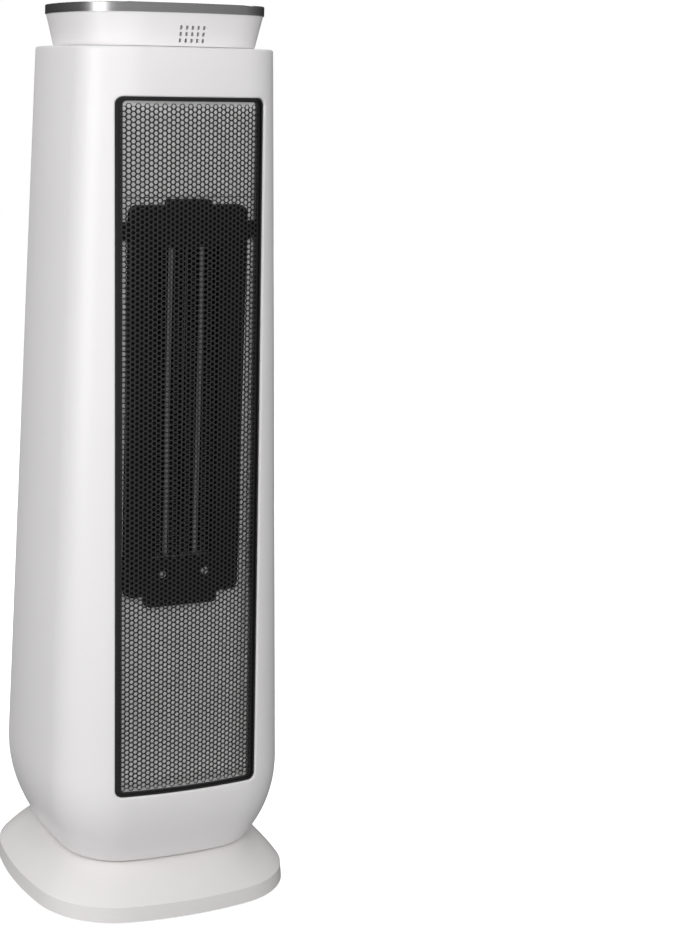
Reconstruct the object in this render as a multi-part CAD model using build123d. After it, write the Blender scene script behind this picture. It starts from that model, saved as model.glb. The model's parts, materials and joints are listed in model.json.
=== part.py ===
from build123d import *
import os
from math import acos, cos, pi, radians, sin, sqrt, tan

# Ceramic tower heater on a swinging base.
# Frame: +Z up, front towards -Y, origin on the floor under the middle of the base. Millimetres.

# ---------------------------------------------------------------- driving dimensions
TOTAL_HEIGHT = 590.0
WALL = 2.5
SNUG = 0.1            # clearance of a piece that drops into its seat
LOOSE = 0.3           # clearance of a panel or a moving cap
RUNNING = 0.06        # radial clearance of a shaft in its bush

# base
BASE_WIDTH = 186.0
BASE_SIDE_HEIGHT = 11.6
BASE_DRAFT = 0.9
BASE_TOP = 32.9
BASE_DECK_WIDTH = 132.0
BASE_DOME_POWER = 1.5
BASE_PLATE_THICKNESS = 2.5
FOOT_HEIGHT = 1.5
FOOT_RADIUS = 9.0
FOOT_OFFSET = 58.0
BASE_SCREW_OFFSET = 72.0
BALLAST_RADIUS = 62.0
BALLAST_THICKNESS = 6.0
CORD_BORE_RADIUS = 3.2
CORD_BUSH_RADIUS = 4.6
CORD_OUTLET_HEIGHT = 9.3
TILT_SENSOR = (16.0, 12.0, 12.0)

# swing bearing and drive
SEAM = 1.0            # gap between base and tower
HUB_RADIUS = 20.0
HUB_BORE_RADIUS = 13.0
HUB_FLANGE_RADIUS = 34.0
HUB_FLANGE_THICKNESS = 3.0
TURNTABLE_THICKNESS = 3.5
TURNTABLE_BOSS_HEIGHT = 6.0
TURNTABLE_BOSS_WALL = 6.0
GEAR_MODULE = 1.4
GEAR_TEETH = 42
PINION_TEETH = 14
GEAR_FACE = 6.0
GEAR_BACKLASH = 0.30
GEAR_SHOULDER = 3.0
SWING_MOTOR_RADIUS = 18.0
SWING_MOTOR_HEIGHT = 14.0
SWING_POST_REACH = 24.0

# tower body
TOWER_LOW_WIDTH = 168.6      # across the flats where the lower tuck starts
TOWER_TOP_WIDTH = 139.0
TUCK_HEIGHT = 61.0
TUCK_DEPTH = 18.2
TUCK_POWER = 2.25
HEAD_HEIGHT = 26.5
DECK_EDGE_RADIUS = 2.0
REAR_SPLIT = 55.0

# front opening, bezel and guard
OPENING_WIDTH = 100.6
OPENING_LOW = 85.4
OPENING_TOP_MARGIN = 30.1
OPENING_RADIUS = 4.8
OPENING_EDGE_ROUND = 1.1
BEZEL_RECESS = 1.2
BEZEL_DEPTH = 3.2
BEZEL_BORDER = 1.4
BEZEL_SIDE_BORDER = 4.6       # from the opening's edge to the bezel's window
BEZEL_END_BORDER = 2.6
BEZEL_FLANGE = 3.5
GUARD_SETBACK = 0.5
GUARD_THICKNESS = 0.8

# pale liner behind the guard
LINER_INSET = 5.0            # behind the body's outer surface
LINER_BORDER = 0.9           # from the opening's edge to the liner's outside
LINER_WALL = 1.6
LINER_DEPTH = 60.0           # from the swing axis to the liner's front face
LINER_GAP = 0.6
LINER_SPLIT_ABOVE = 4.6      # above the top of the heater module

# heater module
MODULE_WIDTH = 79.6
MODULE_ABOVE_OPENING = 129.8
MODULE_BELOW_OPENING_TOP = 66.4
MODULE_SETBACK = 6.6
MODULE_BACK = -24.0
MODULE_RADIUS = 5.5
MODULE_FACE = 2.5            # front wall of the housing
MODULE_TAB_WIDTH = 30.0
MODULE_TAB_RISE = 3.5
MODULE_CHIN_WIDTH = 50.0
MODULE_CHIN_DROP = 7.5
LUG_REACH = 5.5
LUG_SETBACK = 1.6
LUG_THICKNESS = 2.6
LUG_HOLE_RADIUS = 1.2
LUG_HEIGHT = 11.0
LUG_BELOW_TOP = 10.0
WINDOW_WIDTH = 43.0
WINDOW_ABOVE = 25.0
WINDOW_BELOW = 26.0
WINDOW_POCKET = 12.0         # room behind the face for the ends of the element
ELEMENT_SETBACK = 5.8        # fins behind the module's front
ELEMENT_DEPTH = 16.0
TUBE_THICKNESS = 3.0
TUBE_WALL = 0.5
TUBE_OFFSET = 10.8
TUBE_PROUD = 0.6             # tubes stand this far in front of the fins' plates
STONE_LENGTH = 34.0
STONE_GAP = 3.0
SIDE_PLATE = 0.8
FIN_PITCH = 5.0
FIN_THICKNESS = 0.5
CAP_OVERLAP = 5.0
CAP_HEIGHT = 9.0
HEATER_SCREW_OFFSET = 15.0
HEATER_SCREW_ABOVE = 14.9
SCREW_HEAD_RADIUS = 2.9
SCREW_HEAD_HEIGHT = 1.8
SCREW_SHANK_RADIUS = 1.5
SCREW_CROSS = (1.6, 0.35)    # half length and half width of the recess

# fan
FAN_Y = 14.0
FAN_RADIUS = 23.0
FAN_END_GAP = 4.0
SCROLL_SIDE_GAP = 4.5
SCROLL_BACK_GAP = 9.0
FAN_DISC = 2.0
FAN_BAYS = 3
FAN_BLADES = 24
BLADE_THICKNESS = 1.0
BLADE_LENGTH = 8.0
BLADE_ANGLE = 35.0
SHAFT_RADIUS = 3.0
FAN_BUSH_RADIUS = 6.0
DUCT_WALL = 1.6
DUCT_PLATE = 2.0
FAN_MOTOR_DROP = 30.0        # from the duct's lower plate to the stator
STATOR_HEIGHT = 16.0
STATOR_WIDTH = 56.0
ROTOR_RADIUS = 13.0
ROTOR_AIR_GAP = 0.6

# rear: filter cover, hand hold, mains switch
FILTER_WIDTH = 88.0
FILTER_ABOVE_MODULE = 4.0
FILTER_RADIUS = 8.0
FILTER_SLOT_PITCH = 9.0
FILTER_SLOT_HEIGHT = 4.5
FILTER_SLOT_MARGIN = 8.0
FILTER_NET_THICKNESS = 1.2
FILTER_NET_INSET = 6.0
HAND_HOLD_WIDTH = 76.0
HAND_HOLD_HEIGHT = 26.0
HAND_HOLD_DEPTH = 20.0
HAND_HOLD_BELOW_DECK = 26.0
HAND_HOLD_WALL = 2.0
ROCKER_HEIGHT = 128.0
ROCKER_WIDTH = 12.0
ROCKER_RADIUS = 9.0
ROCKER_TILT = 9.0
ROCKER_HOUSING_DEPTH = 18.0
ROCKER_FLANGE = 3.0

# power board
BOARD_WIDTH = 92.0
BOARD_HEIGHT = 62.0
BOARD_THICKNESS = 1.6
BOARD_Y = -34.0
BOARD_LOW = 100.0
RELAY = (18.0, 15.0, 16.0)
CAPACITOR_RADIUS = 9.0
CAPACITOR_LENGTH = 24.0
SINK_FINS = 7
SINK_PITCH = 8.0
SINK_DEPTH = 12.0
SINK_HEIGHT = 18.0

# head
HEAD_SHADOW_GAP = 0.5
CUP_LOW_WIDTH = 120.6
CUP_TOP_WIDTH = 129.6
RING_HEIGHT = 6.0
RING_WIDTH = 130.8
RING_THICKNESS = 3.0
PANEL_RECESS = 1.0
PANEL_THICKNESS = 2.2
VENT_PITCH = 3.85
VENT_WIDTH = 1.5
VENT_HEIGHT = 2.4
VENT_MIDDLE_BELOW_RING = 12.7
KEY_RADIUS = 7.0
KEY_TRAVEL = 0.8
KEY_PITCH_X = 26.0
KEY_PITCH_Y = 24.0
KEY_FIRST_ROW = -40.0
DIGIT_WINDOW = (56.0, 22.0)
DIGIT_WINDOW_Y = 14.0
DISPLAY_BOARD_HALF = 52.0
DISPLAY_BOARD_DROP = 13.0
DISPLAY_POST_OFFSET = 38.0

# case screws
CASE_SCREW_RADIUS = 1.9
CASE_SCREW_HEAD = 3.5
CASE_BOSS_RADIUS = 6.3
CASE_SCREW_HEIGHTS = (112.0, 530.0)
CASE_SCREW_SHARE = 0.74      # of the body's half width, out from the middle
CASE_BOSS_DEPTH = 14.0

# ---------------------------------------------------------------- sizes that follow
TOWER_LOW = BASE_TOP + SEAM
DECK = TOTAL_HEIGHT - HEAD_HEIGHT
TUCK_TOP = TOWER_LOW + TUCK_HEIGHT
OPENING_TOP = DECK - OPENING_TOP_MARGIN
MODULE_LOW = OPENING_LOW + MODULE_ABOVE_OPENING
MODULE_TOP = OPENING_TOP - MODULE_BELOW_OPENING_TOP
WINDOW_LOW = MODULE_LOW + WINDOW_ABOVE
WINDOW_TOP = MODULE_TOP - WINDOW_BELOW
GEAR_LOW = TOWER_LOW + TURNTABLE_THICKNESS + TURNTABLE_BOSS_HEIGHT + 0.5
GEAR_CENTRES = GEAR_MODULE * (GEAR_TEETH + PINION_TEETH) / 2
HUB_TOP = GEAR_LOW + GEAR_FACE + 3.0
SWING_MOTOR_LOW = GEAR_LOW + GEAR_FACE + 4.0
RING_LOW = TOTAL_HEIGHT - RING_HEIGHT
PANEL_TOP = TOTAL_HEIGHT - PANEL_RECESS
PANEL_LOW = PANEL_TOP - PANEL_THICKNESS
DUCT_LOW = WINDOW_LOW - 12.0
DUCT_TOP = WINDOW_TOP + 12.0

SIDE_BOW = 3.9               # radius of a body side over its half width
SIDE_CORNER = 0.555          # radius of a body corner over its half width
BASE_BOW = 2.64
BASE_CORNER = 0.615

parts = {}


# ---------------------------------------------------------------- shape helpers
def block(x0, x1, y0, y1, z0, z1):
    """A box from its two opposite corners."""
    size = (x1 - x0, y1 - y0, z1 - z0)
    return Pos((x0 + x1) / 2, (y0 + y1) / 2, (z0 + z1) / 2) * Box(*size)


def post(radius, z0, z1, x=0.0, y=0.0):
    """An upright cylinder."""
    return Pos(x, y, (z0 + z1) / 2) * Cylinder(radius, z1 - z0)


def rod_y(radius, y0, y1, x, z):
    """A cylinder that lies along Y."""
    return Pos(x, (y0 + y1) / 2, z) * Rot(90, 0, 0) * Cylinder(radius, y1 - y0)


def panel_y(width, z0, z1, radius, y0, y1, x=0.0):
    """A rounded rectangle in XZ, given its thickness along Y."""
    outline = RectangleRounded(width, z1 - z0, radius)
    return Pos(x, y1, (z0 + z1) / 2) * Rot(90, 0, 0) * extrude(outline, y1 - y0)


def squircle(half, z, bow=SIDE_BOW, corner=SIDE_CORNER, inset=0.0):
    """A square at height z with bowed sides and large corners, all arcs tangent."""
    side_radius = bow * half - inset
    corner_radius = corner * half - inset
    edge = half - inset
    reach = side_radius - edge
    gap = side_radius - corner_radius
    centre = (sqrt(2 * gap ** 2 - reach ** 2) - reach) / 2
    px = (centre + reach) * side_radius / gap - reach
    py = centre * side_radius / gap
    mid = centre + corner_radius / sqrt(2)
    arcs = []
    for turn in range(4):
        corners = ((px, -py), (edge, 0), (px, py), (mid, mid), (py, px))
        a, b, c, d, e = [Vector(x, y, 0).rotate(Axis.Z, 90 * turn) for x, y in corners]
        arcs += [ThreePointArc(a, b, c), ThreePointArc(c, d, e)]
    return Pos(0, 0, z) * make_face(arcs).face()


def loft_through(faces, ruled=False):
    return Solid.make_loft([face.outer_wire() for face in faces], ruled)


def body_half(z):
    """Half width of the tower's outer wall at height z."""
    rise = (z - TUCK_TOP) / (DECK - TUCK_TOP)
    half = (TOWER_LOW_WIDTH + (TOWER_TOP_WIDTH - TOWER_LOW_WIDTH) * rise) / 2
    if z < TUCK_TOP:
        half -= TUCK_DEPTH * ((TUCK_TOP - z) / TUCK_HEIGHT) ** TUCK_POWER
    return half


def body_solid(inset, top=DECK):
    """The tower's outer form, drawn in by inset."""
    steps = [TOWER_LOW + TUCK_HEIGHT * (i / 6) ** 1.4 for i in range(7)]
    tuck = loft_through([squircle(body_half(z), z, inset=inset) for z in steps])
    ends = [squircle(body_half(z), z, inset=inset) for z in (TUCK_TOP, top)]
    return tuck + loft_through(ends, True)


def body_layer(outer_inset, inner_inset):
    """The skin of the tower between two insets, open at both ends."""
    return body_solid(outer_inset) - body_solid(inner_inset)


def opening_prism(grow, y0=-140.0, y1=-40.0):
    """The front opening as a prism, grown outwards by grow."""
    width = OPENING_WIDTH + 2 * grow
    radius = max(OPENING_RADIUS + grow, 1.0)
    return panel_y(width, OPENING_LOW - grow, OPENING_TOP + grow, radius, y0, y1)


def gear(teeth, face, bore, turn):
    """A spur gear with involute flanks, a tooth centred at the angle turn in degrees."""
    pressure = radians(20)
    pitch = GEAR_MODULE * teeth / 2
    base = pitch * cos(pressure)
    tip = pitch + 0.8 * GEAR_MODULE
    root = pitch - 1.1 * GEAR_MODULE
    half_tooth = pi / (2 * teeth) - GEAR_BACKLASH / (4 * pitch)
    at_pitch = tan(pressure) - pressure
    first = max(base, root)
    flank = []
    for step in range(5):
        r = first + (tip - first) * step / 4
        lean = acos(base / r)
        flank.append((r, half_tooth + at_pitch - (tan(lean) - lean)))
    outline = []
    for tooth in range(teeth):
        middle = radians(turn) + 2 * pi * tooth / teeth
        side = [(root, flank[0][1])] + flank if root < first else flank
        for r, away in side:
            outline.append((r * cos(middle - away), r * sin(middle - away)))
        for r, away in reversed(side):
            outline.append((r * cos(middle + away), r * sin(middle + away)))
    blank = extrude(make_face(Polyline(*outline, close=True)), face)
    return blank - post(bore, -1, face + 1)


# ---------------------------------------------------------------- base
def base_solid(inset, drop):
    """The base's outer form, drawn in and lowered for its inside."""
    foot = BASE_WIDTH / 2
    crease = foot - BASE_DRAFT
    deck = BASE_DECK_WIDTH / 2

    def section(half, z):
        return squircle(half, z, BASE_BOW, BASE_CORNER, inset)

    skirt = [section(foot, FOOT_HEIGHT), section(crease, BASE_SIDE_HEIGHT - drop)]
    dome = []
    for step in range(7):
        share = step / 6
        climb = 1 - (1 - share) ** BASE_DOME_POWER
        z = BASE_SIDE_HEIGHT + (BASE_TOP - BASE_SIDE_HEIGHT) * climb - drop
        dome.append(section(crease + (deck - crease) * share, z))
    return loft_through(skirt, True) + loft_through(dome)


def make_base():
    bosses = []
    screws = []
    plate_top = FOOT_HEIGHT + BASE_PLATE_THICKNESS
    ring = [(BASE_SCREW_OFFSET, 0), (0, BASE_SCREW_OFFSET)]
    ring += [(-x, -y) for x, y in ring]
    for x, y in ring:
        bosses.append(post(4.5, plate_top, BASE_TOP, x, y))
        head = post(3.2, FOOT_HEIGHT, FOOT_HEIGHT + 1.5, x, y)
        screws.append(head + post(SCREW_SHANK_RADIUS, FOOT_HEIGHT + 1.5, plate_top + 9, x, y))
    hollow = base_solid(WALL, WALL)
    cover = base_solid(0, 0) - hollow
    for boss in bosses:
        cover += boss & base_solid(1.0, 1.0)
    for x, y in ring:
        cover -= post(SCREW_SHANK_RADIUS, plate_top - 1, plate_top + 10, x, y)
    cover -= post(HUB_RADIUS + SNUG, BASE_TOP - 2 * WALL, BASE_TOP + 1)
    rear = BASE_WIDTH / 2
    cover -= rod_y(CORD_BUSH_RADIUS, rear - 14, rear + 2, 0, CORD_OUTLET_HEIGHT)
    parts["base_cover"] = cover

    plate = extrude(squircle(BASE_WIDTH / 2 - WALL - 0.6, FOOT_HEIGHT, BASE_BOW, BASE_CORNER),
                    BASE_PLATE_THICKNESS)
    for x, y in ring:
        plate -= post(SCREW_SHANK_RADIUS + 0.2, FOOT_HEIGHT - 1, plate_top + 1, x, y)
        plate -= post(3.4, FOOT_HEIGHT - 1, FOOT_HEIGHT + 1.5, x, y)
    parts["base_plate"] = plate
    parts["base_screws"] = Compound(children=[Part(s.wrapped) for s in screws])

    feet = []
    for sx in (-1, 1):
        for sy in (-1, 1):
            disc = post(FOOT_RADIUS, 0, FOOT_HEIGHT, sx * FOOT_OFFSET, sy * FOOT_OFFSET)
            feet.append(chamfer(disc.edges().group_by(Axis.Z)[0], 0.4))
    parts["rubber_feet"] = Compound(children=feet)

    ballast = post(BALLAST_RADIUS, plate_top, plate_top + BALLAST_THICKNESS)
    parts["ballast_plate"] = ballast - post(HUB_BORE_RADIUS + 12, 0, 60)

    bush = rod_y(CORD_BUSH_RADIUS, rear - 13, rear - 0.4, 0, CORD_OUTLET_HEIGHT)
    bush += rod_y(CORD_BUSH_RADIUS + 0.6, rear - 13, rear - 9.8, 0, CORD_OUTLET_HEIGHT)
    bush -= rod_y(CORD_BORE_RADIUS, rear - 14, rear + 2, 0, CORD_OUTLET_HEIGHT)
    parts["cord_bush"] = bush

    sx, sy, sz = TILT_SENSOR
    x, y = -FOOT_OFFSET + 4, FOOT_OFFSET - 4
    sensor = block(x - sx / 2, x + sx / 2, y - sy / 2, y + sy / 2, plate_top, plate_top + sz)
    parts["tilt_sensor"] = fillet(sensor.edges().filter_by(Axis.Z), 1.5)

    deck_low = BASE_TOP - WALL
    hub = post(HUB_RADIUS, deck_low - HUB_FLANGE_THICKNESS, GEAR_LOW)
    hub += post(HUB_FLANGE_RADIUS, deck_low - HUB_FLANGE_THICKNESS, deck_low)
    hub += post(HUB_RADIUS - GEAR_SHOULDER, GEAR_LOW, HUB_TOP)
    parts["pivot_hub"] = hub - post(HUB_BORE_RADIUS, 0, HUB_TOP + 1)
    washer = post(HUB_FLANGE_RADIUS, BASE_TOP, TOWER_LOW - SNUG)
    parts["slip_washer"] = washer - post(HUB_RADIUS + SNUG, 0, 60)
    fixed = gear(GEAR_TEETH, GEAR_FACE, HUB_RADIUS - GEAR_SHOULDER, 90)
    parts["swing_gear"] = Pos(0, 0, GEAR_LOW) * fixed
    nut = post(HUB_RADIUS + 1.5, GEAR_LOW + GEAR_FACE, HUB_TOP)
    parts["gear_nut"] = nut - post(HUB_RADIUS - GEAR_SHOULDER, 0, HUB_TOP + 1)


# ---------------------------------------------------------------- swing drive on the tower
def make_swing_drive():
    floor_half = body_half(TOWER_LOW) - WALL - LOOSE
    table = extrude(squircle(floor_half, TOWER_LOW), TURNTABLE_THICKNESS)
    boss_top = TOWER_LOW + TURNTABLE_THICKNESS + TURNTABLE_BOSS_HEIGHT
    table += post(HUB_RADIUS + TURNTABLE_BOSS_WALL, TOWER_LOW, boss_top)
    table -= post(HUB_RADIUS + RUNNING, 0, boss_top + 1)
    floor = TOWER_LOW + TURNTABLE_THICKNESS
    for side in (-1, 1):
        table += post(3.5, floor, SWING_MOTOR_LOW, side * SWING_POST_REACH, GEAR_CENTRES)
    parts["turntable"] = table

    top = SWING_MOTOR_LOW + SWING_MOTOR_HEIGHT
    motor = post(SWING_MOTOR_RADIUS, SWING_MOTOR_LOW, top, 0, GEAR_CENTRES)
    motor = fillet(motor.edges().group_by(Axis.Z)[-1], 1.5)
    reach = SWING_POST_REACH + 4
    motor += block(-reach, reach, GEAR_CENTRES - 5, GEAR_CENTRES + 5,
                   SWING_MOTOR_LOW, SWING_MOTOR_LOW + 2)
    motor -= post(2.5 + RUNNING, SWING_MOTOR_LOW - 1, SWING_MOTOR_LOW + 7, 0, GEAR_CENTRES)
    parts["swing_motor"] = motor
    pinion = gear(PINION_TEETH, GEAR_FACE, 2.5, 270 + 180 / PINION_TEETH)
    pinion = Pos(0, GEAR_CENTRES, GEAR_LOW) * pinion
    parts["swing_pinion"] = pinion + post(2.5, GEAR_LOW, SWING_MOTOR_LOW + 6.5, 0, GEAR_CENTRES)


# ---------------------------------------------------------------- shells
def filter_span():
    """Heights of the filter opening in the rear shell."""
    return MODULE_LOW + FILTER_ABOVE_MODULE, MODULE_TOP


def case_screw_points():
    return [(side * CASE_SCREW_SHARE * body_half(z), z)
            for z in CASE_SCREW_HEIGHTS for side in (-1, 1)]


def make_shells():
    outer = body_solid(0)
    rim = outer.edges().filter_by(lambda e: abs(e.center().Z - DECK) < 0.01)
    outer = fillet(rim, DECK_EDGE_RADIUS)
    outer -= opening_prism(0)
    mouth = outer.edges().filter_by(
        lambda e: e.center().Y < -50 and abs(e.center().X) < OPENING_WIDTH / 2 + 0.1
        and OPENING_LOW - 0.1 < e.center().Z < OPENING_TOP + 0.1
        and abs((e @ 0 - e @ 1).Y) < e.length * 0.8)
    outer = fillet(mouth, OPENING_EDGE_ROUND)
    inner = body_solid(WALL, DECK - WALL)
    shell = outer - inner
    shell -= extrude(squircle(CUP_LOW_WIDTH / 2 - 3, DECK - 2 * WALL), 4 * WALL)
    ahead = block(-200, 200, -200, REAR_SPLIT, 0, TOTAL_HEIGHT + 50)
    front = shell & ahead
    rear = shell - ahead

    limit = body_solid(1.0)
    floor = REAR_SPLIT + 3.5
    screws = []
    for x, z in case_screw_points():
        side = 1 if x > 0 else -1
        boss = rod_y(CASE_BOSS_RADIUS, REAR_SPLIT - CASE_BOSS_DEPTH, REAR_SPLIT, x, z)
        web = block(min(x, side * 90), max(x, side * 90), REAR_SPLIT - CASE_BOSS_DEPTH,
                    REAR_SPLIT, z - 1.5, z + 1.5)
        front += (boss + web) & limit
        front -= rod_y(CASE_SCREW_RADIUS, REAR_SPLIT - CASE_BOSS_DEPTH + 2, REAR_SPLIT + 1, x, z)
        rear += rod_y(CASE_BOSS_RADIUS, REAR_SPLIT, 100, x, z) & limit
        rear -= rod_y(CASE_SCREW_HEAD + 0.7, floor, 110, x, z)
        rear -= rod_y(CASE_SCREW_RADIUS + 0.2, REAR_SPLIT - 1, floor + 1, x, z)
        head = rod_y(CASE_SCREW_HEAD, floor, floor + 2.2, x, z)
        screws.append(head + rod_y(CASE_SCREW_RADIUS, REAR_SPLIT - 11, floor, x, z))
    parts["case_screws"] = Compound(children=screws)
    parts["front_shell"] = front

    low, high = filter_span()
    window = panel_y(FILTER_WIDTH, low, high, FILTER_RADIUS, 40, 140)
    rear -= window
    lip = panel_y(FILTER_WIDTH + 8, low - 4, high + 4, FILTER_RADIUS + 4, 40, 140)
    lip -= panel_y(FILTER_WIDTH - 6, low + 3, high - 3, FILTER_RADIUS - 3, 40, 140)
    rear += lip & body_layer(WALL - 0.1, WALL + 1.7)
    hold_top = DECK - HAND_HOLD_BELOW_DECK
    hold = panel_y(HAND_HOLD_WIDTH, hold_top - HAND_HOLD_HEIGHT, hold_top, 6, 30, 140)
    rear -= hold
    half = ROCKER_RADIUS + 1.6
    rear -= panel_y(ROCKER_WIDTH + 4, ROCKER_HEIGHT - half, ROCKER_HEIGHT + half, 1.0, 60, 140)
    parts["rear_shell"] = rear

    back = body_half(hold_top - HAND_HOLD_HEIGHT / 2)
    cup = panel_y(HAND_HOLD_WIDTH - 2 * SNUG, hold_top - HAND_HOLD_HEIGHT + SNUG,
                  hold_top - SNUG, 6, back - HAND_HOLD_DEPTH, 140)
    cup &= body_solid(0.4)
    cup -= panel_y(HAND_HOLD_WIDTH - 2 * HAND_HOLD_WALL, hold_top - HAND_HOLD_HEIGHT + HAND_HOLD_WALL,
                   hold_top - HAND_HOLD_WALL, 4, back - HAND_HOLD_DEPTH + HAND_HOLD_WALL, 140)
    parts["hand_hold"] = cup


def make_filter():
    low, high = filter_span()
    skin = body_layer(0.0, WALL - LOOSE)
    cover = panel_y(FILTER_WIDTH - 2 * LOOSE, low + LOOSE, high - LOOSE, FILTER_RADIUS - LOOSE,
                    40, 140) & skin
    slot_width = FILTER_WIDTH - 2 * FILTER_SLOT_MARGIN
    count = int((high - low - 2 * FILTER_SLOT_MARGIN) // FILTER_SLOT_PITCH)
    first = (low + high) / 2 - FILTER_SLOT_PITCH * (count - 1) / 2
    for row in range(count):
        z = first + row * FILTER_SLOT_PITCH
        cover -= panel_y(slot_width, z - FILTER_SLOT_HEIGHT / 2, z + FILTER_SLOT_HEIGHT / 2,
                         FILTER_SLOT_HEIGHT / 2 - 0.01, 40, 140)
    parts["filter_cover"] = cover
    depth = WALL + 2.2
    net = body_layer(depth, depth + FILTER_NET_THICKNESS)
    net &= panel_y(FILTER_WIDTH - 2 * FILTER_NET_INSET, low + FILTER_NET_INSET,
                   high - FILTER_NET_INSET, 3, 40, 140)
    strips = block(-2, 2, 40, 140, low + FILTER_NET_INSET, high - FILTER_NET_INSET)
    strips &= body_layer(WALL - LOOSE, depth)
    parts["dust_filter"] = net + strips


# ---------------------------------------------------------------- bezel, guard and liner
def make_front():
    deep = BEZEL_RECESS + BEZEL_DEPTH
    bezel = body_layer(BEZEL_RECESS, deep) & opening_prism(-0.2)
    bezel += body_layer(WALL + SNUG, deep) & opening_prism(BEZEL_FLANGE)
    guard_front = BEZEL_RECESS + GUARD_SETBACK
    guard_back = guard_front + GUARD_THICKNESS
    bezel -= body_layer(0, guard_back + 0.05) & opening_prism(-BEZEL_BORDER)
    bezel -= panel_y(OPENING_WIDTH - 2 * BEZEL_SIDE_BORDER, OPENING_LOW + BEZEL_END_BORDER,
                     OPENING_TOP - BEZEL_END_BORDER, OPENING_RADIUS / 2, -140, -40)
    parts["grille_bezel"] = bezel
    guard = body_layer(guard_front, guard_back) & opening_prism(-BEZEL_BORDER - SNUG)
    parts["guard_mesh"] = guard

    room = body_solid(LINER_INSET)
    tray = opening_prism(-LINER_BORDER, -140, -LINER_DEPTH + LINER_WALL) & room
    tray -= opening_prism(-LINER_BORDER - LINER_WALL, -140, -LINER_DEPTH)
    tray -= module_outline(0.4, -LINER_DEPTH - 0.5, -40)
    split = MODULE_TOP + LINER_SPLIT_ABOVE
    parts["liner_upper"] = tray & block(-90, 90, -140, 0, split + LINER_GAP, TOTAL_HEIGHT)
    parts["liner_lower"] = tray & block(-90, 90, -140, 0, 0, split)


# ---------------------------------------------------------------- heater module
def module_front():
    return -(body_half(MODULE_TOP) - MODULE_SETBACK)


def module_outline(grow, y0, y1):
    """The module's outline in XZ with its top tab and chin, grown by grow."""
    body = panel_y(MODULE_WIDTH + 2 * grow, MODULE_LOW - grow, MODULE_TOP + grow,
                   MODULE_RADIUS, y0, y1)
    tab = panel_y(MODULE_TAB_WIDTH + 2 * grow, MODULE_TOP - 12, MODULE_TOP + MODULE_TAB_RISE + grow,
                  1.5, y0, y1)
    chin = panel_y(MODULE_CHIN_WIDTH + 2 * grow, MODULE_LOW - MODULE_CHIN_DROP - grow,
                   MODULE_LOW + 14, 3.0, y0, y1)
    return body + tab + chin


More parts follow.
